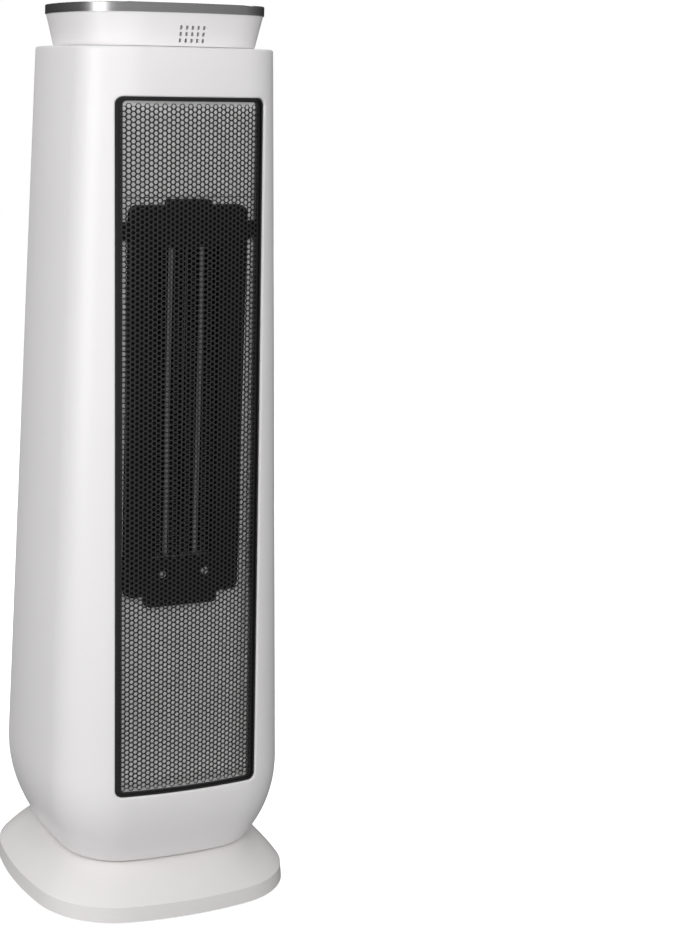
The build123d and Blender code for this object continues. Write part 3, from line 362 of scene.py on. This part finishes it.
def make_finishes(settings):
    grain = settings.texture_size
    white = tuple(settings.shell_tint)
    return {
        "white_plastic": moulded("moulded_white", white, grain, 0.36),
        "head_white": moulded("moulded_head_white", shade(white, 1.02), grain, 0.33),
        "base_white": moulded("moulded_base_white", tuple(settings.base_tint), grain, 0.36),
        "black_plastic": moulded("bezel_black", (0.012, 0.012, 0.012), grain, 0.42),
        "module_black": moulded("module_black", tuple(settings.module_tint), grain * 1.4, 0.5,
                                depth=0.00004, gloss=0.18),
        "guard_black": moulded("guard_powder_coat", (0.022, 0.022, 0.023), 0.0004, 0.34),
        "grey_plastic": moulded("inner_grey", (0.42, 0.42, 0.43), grain, 0.5),
        "liner_pale": moulded("liner_pale", tuple(settings.liner_tint), grain, 0.5),
        "gloss_black": moulded("rocker_black", (0.012, 0.012, 0.012), grain, 0.22),
        "panel_black": moulded("panel_gloss", (0.006, 0.006, 0.007), grain, 0.10, 0.8,
                               depth=0.000001),
        "key_black": moulded("key_satin", (0.022, 0.022, 0.024), grain, 0.34),
        "digit_pane": moulded("digit_pane_smoked", (0.010, 0.006, 0.007), grain, 0.08, 0.8,
                              depth=0.000001),
        "rubber": moulded("rubber_feet", (0.03, 0.03, 0.03), grain * 2, 0.8, depth=0.00005),
        "plated_steel": metal("plated_steel", (0.62, 0.62, 0.60), 0.35),
        "bright_screw": metal("bright_screw", (0.82, 0.82, 0.82), 0.22),
        "trim_metal": brushed("trim_brushed", (0.50, 0.50, 0.50)),
        "tube_metal": metal("tube_metal", (0.52, 0.515, 0.50), 0.42, 700.0),
        # black sheet behind the head's vents: painted shade standing in for the dark, shaded
        # inside of the head
        "vent_painted_shade": woven("vent_painted_shade", (0.006, 0.006, 0.006), 0.0005),
        "aluminium": metal("mill_aluminium", (0.80, 0.80, 0.81), 0.34, 900.0),
        "ceramic": moulded("ceramic_stone", (0.16, 0.15, 0.145), 0.0012, 0.7, depth=0.00006),
        "bronze": metal("sintered_bronze", (0.55, 0.38, 0.20), 0.45),
        "coil_wrap": woven("coil_tape", (0.62, 0.44, 0.14), 0.0012),
        "filter_net": woven("filter_net", (0.06, 0.06, 0.06), 0.0011),
        "board_green": moulded("board_green", (0.03, 0.13, 0.06), grain, 0.3),
        # fins and electrode plates: the dark grey is painted shade of the heater's dim inside, not
        # the bright aluminium of real strips
        "fin_metal_painted_shade": metal("fin_metal_painted_shade", (0.20, 0.195, 0.18), 0.42, 900.0),
        "symbol_print": moulded("symbol_print", (0.62, 0.62, 0.62), grain, 0.5, depth=0.000002),
        "digit_glow": glowing("digit_glow", (1.0, 0.16, 0.08), 1.6),
    }


# ---------------------------------------------------------------- mesh helpers
def mesh_object(name, points, faces):
    mesh = bpy.data.meshes.new(name)
    mesh.from_pydata(points, [], faces)
    mesh.validate()
    mesh.update()
    made = bpy.data.objects.new(name, mesh)
    bpy.context.scene.collection.objects.link(made)
    return made


class Tree:
    """A geometry node tree built in the script."""

    def __init__(self, name, inputs):
        self.tree = bpy.data.node_groups.new(name, "GeometryNodeTree")
        face = self.tree.interface
        face.new_socket("Geometry", in_out="INPUT", socket_type="NodeSocketGeometry")
        face.new_socket("Geometry", in_out="OUTPUT", socket_type="NodeSocketGeometry")
        self.identifiers = {}
        for label, kind in inputs:
            socket = face.new_socket(label, in_out="INPUT", socket_type="NodeSocket" + kind)
            self.identifiers[label] = socket.identifier
        self.source = self.tree.nodes.new("NodeGroupInput")
        self.result = self.tree.nodes.new("NodeGroupOutput")

    def node(self, kind, settings=(), **inputs):
        made = self.tree.nodes.new(kind)
        for key, value in dict(settings).items():
            setattr(made, key, value)
        for key, value in inputs.items():
            self.feed(made, int(key[1:]) if key[0] == "i" and key[1:].isdigit() else key, value)
        return made

    def feed(self, node, key, value):
        socket = node.inputs[key]
        if isinstance(value, Number):
            value = value.socket
        if isinstance(value, bpy.types.Node):
            value = value.outputs[0]
        if isinstance(value, bpy.types.NodeSocket):
            self.tree.links.new(value, socket)
        else:
            socket.default_value = value

    def given(self, label):
        return Number(self, self.source.outputs[label])

    def thicken(self, sheet, side, offset=None):
        """A closed solid from a sheet: along offset, or along its normals by the sheet size."""
        walls = self.node("GeometryNodeExtrudeMesh", {"mode": "FACES"}, i0=sheet)
        if offset:
            self.feed(walls, "Offset", offset)
        self.feed(walls, "Offset Scale", 1.0 if offset else self.given("Sheet") * side)
        self.feed(walls, "Individual", False)
        back = self.node("GeometryNodeFlipFaces", i0=sheet)
        both = self.node("GeometryNodeJoinGeometry")
        self.tree.links.new(walls.outputs[0], both.inputs[0])
        self.tree.links.new(back.outputs[0], both.inputs[0])
        return self.node("GeometryNodeMergeByDistance", i0=both, Distance=WELD)

    def end(self, geometry):
        realized = self.node("GeometryNodeRealizeInstances", i0=geometry)
        coloured = self.node("GeometryNodeSetMaterial", i0=realized,
                             Material=self.source.outputs["Material"])
        self.tree.links.new(coloured.outputs[0], self.result.inputs[0])

    def apply(self, name, base, values):
        """Runs the tree on base and gives the result as a plain mesh object."""
        modifier = base.modifiers.new("build", "NODES")
        modifier.node_group = self.tree
        for label, value in values.items():
            modifier[self.identifiers[label]] = value
        depsgraph = bpy.context.evaluated_depsgraph_get()
        mesh = bpy.data.meshes.new_from_object(base.evaluated_get(depsgraph))
        mesh.name = name
        base.modifiers.remove(modifier)
        bpy.data.objects.remove(base)
        made = bpy.data.objects.new(name, mesh)
        bpy.context.scene.collection.objects.link(made)
        return made


class Number:
    """A value in a geometry node tree; arithmetic on it adds Math nodes."""

    def __init__(self, tree, socket):
        self.tree = tree
        self.socket = socket

    def math(self, operation, *values):
        node = self.tree.node("ShaderNodeMath", {"operation": operation})
        for place, value in enumerate(values):
            self.tree.feed(node, place, value)
        return Number(self.tree, node.outputs[0])

    def __add__(self, other):
        return self.math("ADD", self, other)

    def __sub__(self, other):
        return self.math("SUBTRACT", self, other)

    def __mul__(self, other):
        return self.math("MULTIPLY", self, other)

    def __truediv__(self, other):
        return self.math("DIVIDE", self, other)


def smooth_tree():
    """Merges a CAD mesh's loose triangles and smooths it up to a crease angle."""
    build = Tree("smooth_cad", [("Crease", "Float")])
    merged = build.node("GeometryNodeMergeByDistance", i0=build.source.outputs["Geometry"],
                        Distance=WELD)
    faces = build.node("GeometryNodeSetShadeSmooth", {"domain": "FACE"}, i0=merged, i2=True)
    angle = build.node("GeometryNodeInputMeshEdgeAngle")
    sharp = build.node("FunctionNodeCompare", {"data_type": "FLOAT", "operation": "GREATER_THAN"})
    build.feed(sharp, 0, angle.outputs["Unsigned Angle"])
    build.feed(sharp, 1, build.given("Crease"))
    edges = build.node("GeometryNodeSetShadeSmooth", {"domain": "EDGE"}, i0=faces, i1=sharp,
                       i2=False)
    build.tree.links.new(edges.outputs[0], build.result.inputs[0])
    return build


# Nodes whose metal looks different from the rest of their slot; the electrode plates take the
# fins' dark grey, which is painted shade.
OWN_FINISH = {"heater_tubes": "tube_metal", "electrode_plates": "fin_metal_painted_shade"}


def dress_nodes(finishes):
    """Gives every CAD node its finish and smooth shading."""
    build = smooth_tree()
    slots = {part["node"]: part["material_slot"] for part in frame["record"]["subparts"]}
    for name, node in NODES.items():
        node.data.materials.clear()
        node.data.materials.append(finishes[OWN_FINISH.get(name, slots[name])])
        modifier = node.modifiers.new("smooth", "NODES")
        modifier.node_group = build.tree
        modifier[build.identifiers["Crease"]] = CREASE


# ---------------------------------------------------------------- guard
def hole_tile(pitch, share):
    """One flat cell of the guard in XZ: a hexagon with a hexagonal hole."""
    reach = pitch / math.sqrt(3)
    corners = [math.radians(60 * step) for step in range(6)]
    points = [(scale * reach * math.cos(turn), 0, scale * reach * math.sin(turn))
              for scale in (1.0, share) for turn in corners]
    faces = [(step, step + 6, (step + 1) % 6 + 6, (step + 1) % 6) for step in range(6)]
    return mesh_object("guard_cell", points, faces)


def guard_tree():
    """Cells on a staggered grid, laid against the guard's curved front and given a thickness."""
    inputs = [("Cell", "Object"), ("Sheet", "Float"), ("Surface", "Object"),
              ("Material", "Material"), ("Columns", "Int"), ("Rows", "Int"), ("Pitch", "Float"),
              ("Middle", "Float")]
    build = Tree("perforated_guard", inputs)
    pitch = build.given("Pitch")
    columns = build.given("Columns")
    rows = build.given("Rows")
    aside = pitch * (math.sqrt(3) / 2)
    grid = build.node("GeometryNodeMeshGrid")
    build.feed(grid, "Size X", aside * (columns - 1))
    build.feed(grid, "Size Y", pitch * (rows - 1))
    build.feed(grid, "Vertices X", columns)
    build.feed(grid, "Vertices Y", rows)
    place = build.node("ShaderNodeSeparateXYZ", i0=build.node("GeometryNodeInputPosition"))
    across = Number(build, place.outputs[0])
    up = Number(build, place.outputs[1])
    column = across.math("ROUND", across / aside + (columns - 1) / 2)
    odd = column.math("MODULO", column, 2)
    spot = build.node("ShaderNodeCombineXYZ", i0=across, i1=0.0,
                      i2=up + odd * (pitch / 2) + build.given("Middle"))
    points = build.node("GeometryNodeSetPosition", i0=grid, Position=spot)
    cell = build.node("GeometryNodeObjectInfo", i0=build.source.outputs["Cell"])
    cells = build.node("GeometryNodeInstanceOnPoints", i0=points,
                       Instance=cell.outputs["Geometry"])
    flat = build.node("GeometryNodeRealizeInstances", i0=cells)
    flat = build.node("GeometryNodeMergeByDistance", i0=flat, Distance=2e-5)
    surface = build.node("GeometryNodeObjectInfo", i0=build.source.outputs["Surface"])
    here = build.node("GeometryNodeInputPosition")
    start = build.node("ShaderNodeVectorMath", {"operation": "SUBTRACT"}, i0=here,
                       i1=(0, RAY_START, 0))
    ray = build.node("GeometryNodeRaycast")
    build.feed(ray, "Target Geometry", surface.outputs["Geometry"])
    build.feed(ray, "Source Position", start)
    build.feed(ray, "Ray Direction", (0.0, 1.0, 0.0))
    build.feed(ray, "Ray Length", 2 * RAY_START)
    hit = Number(build, ray.outputs["Is Hit"])
    missed = build.node("FunctionNodeBooleanMath", {"operation": "NOT"}, i0=hit)
    sheet = build.node("GeometryNodeSetPosition", i0=flat, Position=ray.outputs["Hit Position"])
    sheet = build.node("GeometryNodeDeleteGeometry", {"domain": "POINT"}, i0=sheet,
                       Selection=missed)
    deep = build.node("ShaderNodeCombineXYZ", i0=0.0, i1=build.given("Sheet"), i2=0.0)
    build.end(build.thicken(sheet, 1.0, deep))
    return build


def make_guard(settings, finish):
    low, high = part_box("guard_mesh")
    pitch = settings.pitch
    aside = pitch * math.sqrt(3) / 2
    columns = int((high.x - low.x - pitch) // aside)
    rows = int((high.z - low.z - pitch * 0.5) // pitch) - 1
    base = mesh_object("guard_base", [], [])
    cell = hole_tile(pitch, settings.open_share)
    guard = guard_tree().apply("perforated_guard", base, {
        "Cell": cell, "Sheet": settings.sheet, "Surface": NODES["guard_mesh"], "Material": finish,
        "Columns": columns, "Rows": rows, "Pitch": pitch,
        "Middle": (low.z + high.z - pitch / 2) / 2})
    bpy.data.objects.remove(cell)
    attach(guard, "tower")
    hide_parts("guard_mesh")
    return guard


# ---------------------------------------------------------------- heater fins
def fins_tree():
    """Four folded strips, two on each side of the middle, each between two plates."""
    inputs = [("Material", "Material"), ("Folds", "Int"), ("Pitch", "Float"), ("Sheet", "Float"),
              ("Low", "Float"), ("Front", "Float"), ("Depth", "Float"), ("Middle plate", "Float"),
              ("Tube inside", "Float"), ("Tube outside", "Float"), ("Side plate", "Float")]
    build = Tree("fin_strips", inputs)
    step = build.given("Pitch") / 2
    index = Number(build, build.node("GeometryNodeInputIndex").outputs[0])
    far = index.math("MODULO", index, 2)
    height = build.given("Low") + step * index
    strips = build.node("GeometryNodeJoinGeometry")
    for near_label, far_label in (("Middle plate", "Tube inside"), ("Tube outside", "Side plate")):
        start, end = build.given(near_label), build.given(far_label)
        for side in (-1.0, 1.0):
            line = build.node("GeometryNodeMeshLine", Count=build.given("Folds") * 2 + 1)
            spot = build.node("ShaderNodeCombineXYZ", i0=(start + (end - start) * far) * side,
                              i1=build.given("Front"), i2=height)
            line = build.node("GeometryNodeSetPosition", i0=line, Position=spot)
            deep = build.node("ShaderNodeCombineXYZ", i0=0.0, i1=build.given("Depth"), i2=0.0)
            ribbon = build.node("GeometryNodeExtrudeMesh", {"mode": "EDGES"}, i0=line)
            build.feed(ribbon, "Offset", deep)
            build.feed(ribbon, "Offset Scale", 1.0)
            build.feed(strips, 0, build.thicken(ribbon, side))
    build.end(strips)
    return build


def make_fins(settings, finish):
    low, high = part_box("heater_fins")
    tube_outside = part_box("heater_tubes")[1].x
    window = high.z - low.z
    folds = int(window // settings.pitch)
    base = mesh_object("fins_base", [], [])
    fins = fins_tree().apply("folded_fins", base, {
        "Material": finish, "Folds": folds, "Pitch": settings.pitch, "Sheet": settings.sheet,
        "Low": (low.z + high.z - folds * settings.pitch) / 2, "Front": low.y,
        "Depth": high.y - low.y, "Middle plate": PLATE_HALF + settings.sheet,
        "Tube inside": tube_outside - settings.tube - settings.sheet,
        "Tube outside": tube_outside + settings.sheet, "Side plate": high.x - settings.sheet})
    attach(fins, "tower")
    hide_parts("heater_fins")
    return fins


# ---------------------------------------------------------------- print and digits
def band(points, width, closed=False):
    """Both edges of a line of the given width, with mitred corners."""
    count = len(points)
    left, right = [], []
    for here in range(count):
        before = points[here - 1] if here or closed else None
        after = points[(here + 1) % count] if here < count - 1 or closed else None
        ways = [(b - a).normalized() for a, b in ((before, points[here]), (points[here], after))
                if a is not None and b is not None]
        along = sum(ways, Vector((0, 0))).normalized()
        across = Vector((-along.y, along.x))
        reach = width / 2 / max(0.3, abs(along.dot(ways[0])))
        left.append(points[here] + across * reach)
        right.append(points[here] - across * reach)
    return left, right


def arc(radius, start, end, count, middle=(0, 0)):
    """Points of an arc between two angles in degrees."""
    turns = [math.radians(start + (end - start) * step / (count - 1)) for step in range(count)]
    return [Vector((middle[0] + radius * math.cos(turn), middle[1] + radius * math.sin(turn)))
            for turn in turns]


class Print:
    """Flat raised shapes that are gathered into one piece."""

    def __init__(self, low, high):
        self.low = low
        self.high = high
        self.points = []
        self.faces = []

    def quads(self, left, right, closed=False):
        """A solid strip between two edges."""
        first = len(self.points)
        count = len(left)
        for height in (self.low, self.high):
            for edge in (left, right):
                self.points += [(point.x, point.y, height) for point in edge]
        bottom_left, bottom_right, top_left, top_right = (first + count * k for k in range(4))
        for a in range(count if closed else count - 1):
            b = (a + 1) % count
            for start, end in ((top_right, top_left), (bottom_left, bottom_right),
                               (top_left, bottom_left), (bottom_right, top_right)):
                self.faces.append((start + a, start + b, end + b, end + a))
        if not closed:
            last = count - 1
            self.faces += [(bottom_left, bottom_right, top_right, top_left),
                           (top_left + last, top_right + last, bottom_right + last,
                            bottom_left + last)]

    def line(self, points, width, closed=False):
        points = [Vector(point) for point in points]
        self.quads(*band(points, width, closed), closed)

    def shape(self, points):
        """A solid with a flat outline, given anticlockwise."""
        first = len(self.points)
        count = len(points)
        for height in (self.low, self.high):
            self.points += [(point[0], point[1], height) for point in points]
        self.faces.append(tuple(first + count + k for k in range(count)))
        self.faces.append(tuple(first + k for k in reversed(range(count))))
        for a in range(count):
            b = (a + 1) % count
            self.faces.append((first + a, first + b, first + count + b, first + count + a))

    def finish(self, name, material):
        made = mesh_object(name, self.points, self.faces)
        made.data.materials.append(material)
        return made


def draw_power(print_, x, y, size, stroke):
    print_.line(arc(size, 125, 415, 33, (x, y)), stroke)
    print_.line([(x, y + size * 0.35), (x, y + size * 1.1)], stroke)


def draw_minus(print_, x, y, size, stroke):
    print_.line([(x - size * 0.8, y), (x + size * 0.8, y)], stroke)


def draw_plus(print_, x, y, size, stroke):
    reach, half = size * 0.8, stroke / 2
    corner = [(reach, -half), (reach, half), (half, half)]
    turned = [(x + a * c - b * s, y + a * s + b * c)
              for c, s in ((1, 0), (0, 1), (-1, 0), (0, -1)) for a, b in corner]
    print_.shape(turned)


def draw_timer(print_, x, y, size, stroke):
    print_.line(arc(size, 0, 350, 36, (x, y)), stroke, closed=True)
    print_.line([(x, y + size * 0.6), (x, y), (x + size * 0.45, y)], stroke * 0.8)


def draw_mode(print_, x, y, size, stroke):
    """Three rising waves of warm air."""
    for column in (-1, 0, 1):
        wave = [(x + size * (column * 0.62 + 0.14 * math.sin(step * math.pi / 6)),
                 y + size * (step / 9 - 1) * 0.85) for step in range(19)]
        print_.line(wave, stroke)


def draw_swing(print_, x, y, size, stroke):
    """A double arrow bent round the tower."""
    sweep = arc(size, 205, 335, 15, (x, y + size * 0.45))
    print_.line(sweep, stroke)
    for tip, before in ((sweep[0], sweep[1]), (sweep[-1], sweep[-2])):
        along = (tip - before).normalized()
        across = Vector((-along.y, along.x)) * stroke * 1.3
        print_.shape([tip - across, tip + along * stroke * 2.4, tip + across])
    print_.line(arc(size * 0.3, 0, 330, 12, (x, y + size * 0.45)), stroke * 0.8, closed=True)


SYMBOLS = {"key_power": draw_power, "key_plus": draw_plus, "key_minus": draw_minus,
           "key_timer": draw_timer, "key_mode": draw_mode, "key_swing": draw_swing}


def make_symbols(settings, finish):
    """One printed symbol on the cap of each key."""
    for key, draw in SYMBOLS.items():
        low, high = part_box(key)
        printed = Print(high.z, high.z + settings.proud)
        draw(printed, (low.x + high.x) / 2, (low.y + high.y) / 2, settings.symbol_size,
             settings.stroke)
        symbol = printed.finish("symbol_" + key[4:], finish)
        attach(symbol, key)


# Ends of the seven segments, in quarters of a digit's height from its middle.
SEGMENTS = {"top": ((-1, 2), (1, 2)), "upper_left": ((-1, 2), (-1, 0)),
            "upper_right": ((1, 2), (1, 0)), "middle": ((-1, 0), (1, 0)),
            "lower_left": ((-1, 0), (-1, -2)), "lower_right": ((1, 0), (1, -2)),
            "bottom": ((-1, -2), (1, -2))}
UNLIT = {"0": ("middle",), "1": ("top", "upper_left", "middle", "lower_left", "bottom"),
         "2": ("upper_left", "lower_right"), "3": ("upper_left", "lower_left"),
         "4": ("top", "lower_left", "bottom"), "5": ("upper_right", "lower_left"),
         "6": ("upper_right",), "7": ("upper_left", "middle", "lower_left", "bottom"),
         "8": (), "9": ("lower_left",)}


def make_digits(settings, finish):
    """Seven-segment digits that glow through the dark pane, with a degree ring."""
    low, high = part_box("digit_window")
    unit = settings.digit_height / 4
    width = unit * 0.55
    glow = Print(high.z, high.z + settings.proud)
    middle = Vector(((low.x + high.x) / 2, (low.y + high.y) / 2))
    pitch = unit * 3.4
    first = middle.x - pitch * (len(settings.reading) - 1) / 2 - unit * 0.8
    for place, digit in enumerate(settings.reading):
        centre = Vector((first + place * pitch, middle.y))
        for name, ends in SEGMENTS.items():
            if name in UNLIT[digit]:
                continue
            start, end = [centre + Vector(point) * unit for point in ends]
            along = (end - start).normalized()
            across = Vector((-along.y, along.x)) * width / 2
            start += along * width * 0.62
            end -= along * width * 0.62
            nib = along * width / 2
            glow.shape([start - across, end - across, end + nib, end + across,
                        start + across, start - nib])
    ring = (first + pitch * (len(settings.reading) - 0.4), middle.y + unit * 1.6)
    glow.line(arc(unit * 0.45, 0, 330, 12, ring), width * 0.6, closed=True)
    digits = glow.finish("digit_segments", finish)
    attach(digits, "tower")


# ---------------------------------------------------------------- black sheet behind the vents, as painted shade
def make_vent_painted_shade(settings, finish):
    """A thin black sheet moulded into the wall of the head cup, across its vents: painted shade
    that makes the vents as dark as the shaded inside of the head.
    """
    cup = NODES["head_cup"]
    tree = BVHTree.FromObject(cup, bpy.context.evaluated_depsgraph_get())
    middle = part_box("trim_ring")[0].z - settings.vent_drop
    corners = []
    for height in (middle - settings.shade_sheet_height / 2, middle + settings.shade_sheet_height / 2):
        wall = tree.ray_cast(Vector((0, 0, height)), Vector((0, -1, 0)))[0]
        corners.append((wall.y - settings.shade_sheet_inset, height))
    half = settings.shade_sheet_width / 2
    points = [(x, y + deep, z) for deep in (0, settings.shade_sheet_thickness) for y, z in corners
              for x in (-half, half)]
    faces = [(0, 1, 3, 2), (4, 6, 7, 5), (0, 4, 5, 1), (2, 3, 7, 6), (0, 2, 6, 4), (1, 5, 7, 3)]
    shade_sheet = mesh_object("vent_gauze", points, faces)
    shade_sheet.data.materials.append(finish)
    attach(shade_sheet, "tower")
    return shade_sheet


# ---------------------------------------------------------------- operators
class HEATER_OT_finish(bpy.types.Operator):
    """Give every moulded, metal and rubber part its finish"""

    bl_idname = "heater.finish"
    bl_label = "Finishes"

    def execute(self, context):
        dress_nodes(make_finishes(context.scene.heater_finish))
        return {"FINISHED"}


class HEATER_OT_guard(bpy.types.Operator):
    """Build the perforated guard over the opening"""

    bl_idname = "heater.guard"
    bl_label = "Guard"

    def execute(self, context):
        make_guard(context.scene.heater_guard, bpy.data.materials["guard_powder_coat"])
        return {"FINISHED"}


class HEATER_OT_fins(bpy.types.Operator):
    """Fold the fin strips between the heater tubes"""

    bl_idname = "heater.fins"
    bl_label = "Fins"

    def execute(self, context):
        make_fins(context.scene.heater_fins, bpy.data.materials["fin_metal_painted_shade"])
        return {"FINISHED"}


class HEATER_OT_vent_shade(bpy.types.Operator):
    """Fit a black sheet behind the vents as painted shade"""

    bl_idname = "heater.gauze"
    bl_label = "Vent gauze"

    def execute(self, context):
        make_vent_painted_shade(context.scene.heater_vents, bpy.data.materials["vent_painted_shade"])
        return {"FINISHED"}


class HEATER_OT_symbols(bpy.types.Operator):
    """Print a symbol on each key"""

    bl_idname = "heater.symbols"
    bl_label = "Key symbols"

    def execute(self, context):
        make_symbols(context.scene.heater_panel, bpy.data.materials["symbol_print"])
        return {"FINISHED"}


class HEATER_OT_digits(bpy.types.Operator):
    """Light the digits in the window"""

    bl_idname = "heater.digits"
    bl_label = "Digits"

    def execute(self, context):
        make_digits(context.scene.heater_panel, bpy.data.materials["digit_glow"])
        return {"FINISHED"}


def soft_light(name, turn, rise, size, brightness, mirrored=True):
    """An area light aimed at the heater's middle; brightness 1 shows a white face as white.

    A light that isn't mirrored leaves no highlight on glossy parts.
    """
    data = bpy.data.lights.new(name, "AREA")
    data.shape = "RECTANGLE"
    data.size, data.size_y = size
    data.energy = brightness * math.pi ** 2 * LIGHT_DISTANCE ** 2
    lamp = bpy.data.objects.new(name, data)
    turn, rise = math.radians(turn), math.radians(rise)
    away = Vector((math.sin(turn) * math.cos(rise), -math.cos(turn) * math.cos(rise),
                   math.sin(rise)))
    middle = (CAD_BOX[0] + CAD_BOX[1]) / 2
    lamp.visible_glossy = mirrored
    lamp.location = middle + away * LIGHT_DISTANCE
    lamp.rotation_euler = (-away).to_track_quat("-Z", "Y").to_euler()
    bpy.context.scene.collection.objects.link(lamp)


def room_light(studio):
    """White behind the heater; for lighting, brighter on the camera's side than behind."""
    world = bpy.data.worlds.new("studio")
    world.use_nodes = True
    tree = world.node_tree
    backdrop = tree.nodes["Background"]
    way = tree.nodes.new("ShaderNodeVectorMath")
    way.operation = "DOT_PRODUCT"
    tree.links.new(tree.nodes.new("ShaderNodeTexCoord").outputs["Generated"], way.inputs[0])
    way.inputs[1].default_value = (math.sin(studio.azimuth), -math.cos(studio.azimuth), 0.25)
    front = Field(tree, way.outputs["Value"]) * 0.5 + 0.5
    front = front.clamped()
    span = studio.room_front - studio.room_back
    room = Field(tree, tree.nodes.new("ShaderNodeLightPath").outputs["Is Camera Ray"])
    strength = room + (1 - room) * (front * span + studio.room_back)
    tree.links.new(strength.socket, backdrop.inputs["Strength"])
    backdrop.inputs["Color"].default_value = (1, 1, 1, 1)
    return world


class HEATER_OT_studio(bpy.types.Operator):
    """Set up the floor, soft light and camera"""

    bl_idname = "heater.studio"
    bl_label = "Studio"

    def execute(self, context):
        scene = context.scene
        studio = scene.heater_studio
        wide = FLOOR_REACH
        floor = mesh_object("floor", [(-wide, -wide, 0), (wide, -wide, 0), (wide, wide, 0),
                                      (-wide, wide, 0)], [(0, 1, 2, 3)])
        pale = Finish("studio_floor", roughness=0.9, emission_strength=FLOOR_GLOW,
                      emission_color=(1.0, 1.0, 1.0))
        cloud = pale.noise(2.0)
        pale.set("Base Color", pale.blend(cloud, (0.90, 0.90, 0.90), (0.93, 0.93, 0.93)))
        floor.data.materials.append(pale.material)
        floor.visible_diffuse = False
        floor.visible_glossy = False

        scene.world = room_light(studio)
        scene.view_settings.view_transform = "Standard"
        soft_light("key_light", -8, 24, (1.5, 1.1), studio.key_light, mirrored=False)
        soft_light("left_light", -85, 14, (0.55, 1.2), studio.left_light)
        soft_light("back_light", 157, 55, (1.2, 0.9), studio.back_light)
        soft_light("strip_light", 62, 8, (0.14, 1.2), studio.strip_light)

        turn = studio.azimuth
        data = bpy.data.cameras.new("camera")
        camera = bpy.data.objects.new("camera", data)
        scene.collection.objects.link(camera)
        data.sensor_width = SENSOR
        data.lens = SENSOR * studio.focal
        data.shift_x = studio.shift * math.cos(studio.roll)
        data.shift_y = -studio.shift * math.sin(studio.roll)
        data.clip_start = 0.01
        camera.location = (math.sin(turn) * studio.distance, -math.cos(turn) * studio.distance,
                           studio.height)
        aim = Matrix.Rotation(turn, 4, "Z") @ Matrix.Rotation(math.pi / 2 - studio.tilt, 4, "X")
        camera.rotation_euler = (aim @ Matrix.Rotation(studio.roll, 4, "Z")).to_euler()
        scene.camera = camera
        return {"FINISHED"}


class HEATER_PT_panel(bpy.types.Panel):
    """Lists the heater's settings and steps."""

    bl_idname = "HEATER_PT_panel"
    bl_label = "Ceramic tower heater"
    bl_space_type = "VIEW_3D"
    bl_region_type = "UI"
    bl_category = "Heater"

    def draw(self, context):
        for place in GROUPS:
            group = getattr(context.scene, place)
            for name in group.__annotations__:
                self.layout.prop(group, name)
        for operator in OPERATORS:
            self.layout.operator(operator.bl_idname)


GROUPS = {"heater_finish": HeaterFinish, "heater_guard": HeaterGuard, "heater_fins": HeaterFins,
          "heater_vents": HeaterVents, "heater_panel": HeaterPanel, "heater_studio": HeaterStudio}
OPERATORS = (HEATER_OT_finish, HEATER_OT_guard, HEATER_OT_fins, HEATER_OT_vent_shade,
             HEATER_OT_symbols, HEATER_OT_digits, HEATER_OT_studio)
CLASSES = (*GROUPS.values(), *OPERATORS, HEATER_PT_panel)


def register():
    for item in CLASSES:
        bpy.utils.register_class(item)
    for name, group in GROUPS.items():
        setattr(bpy.types.Scene, name, bpy.props.PointerProperty(type=group))


def unregister():
    for name in GROUPS:
        delattr(bpy.types.Scene, name)
    for item in reversed(CLASSES):
        bpy.utils.unregister_class(item)


def main():
    register()
    for operator in OPERATORS:
        group, step = operator.bl_idname.split(".")
        getattr(getattr(bpy.ops, group), step)()


if __name__ == "__main__":
    main()
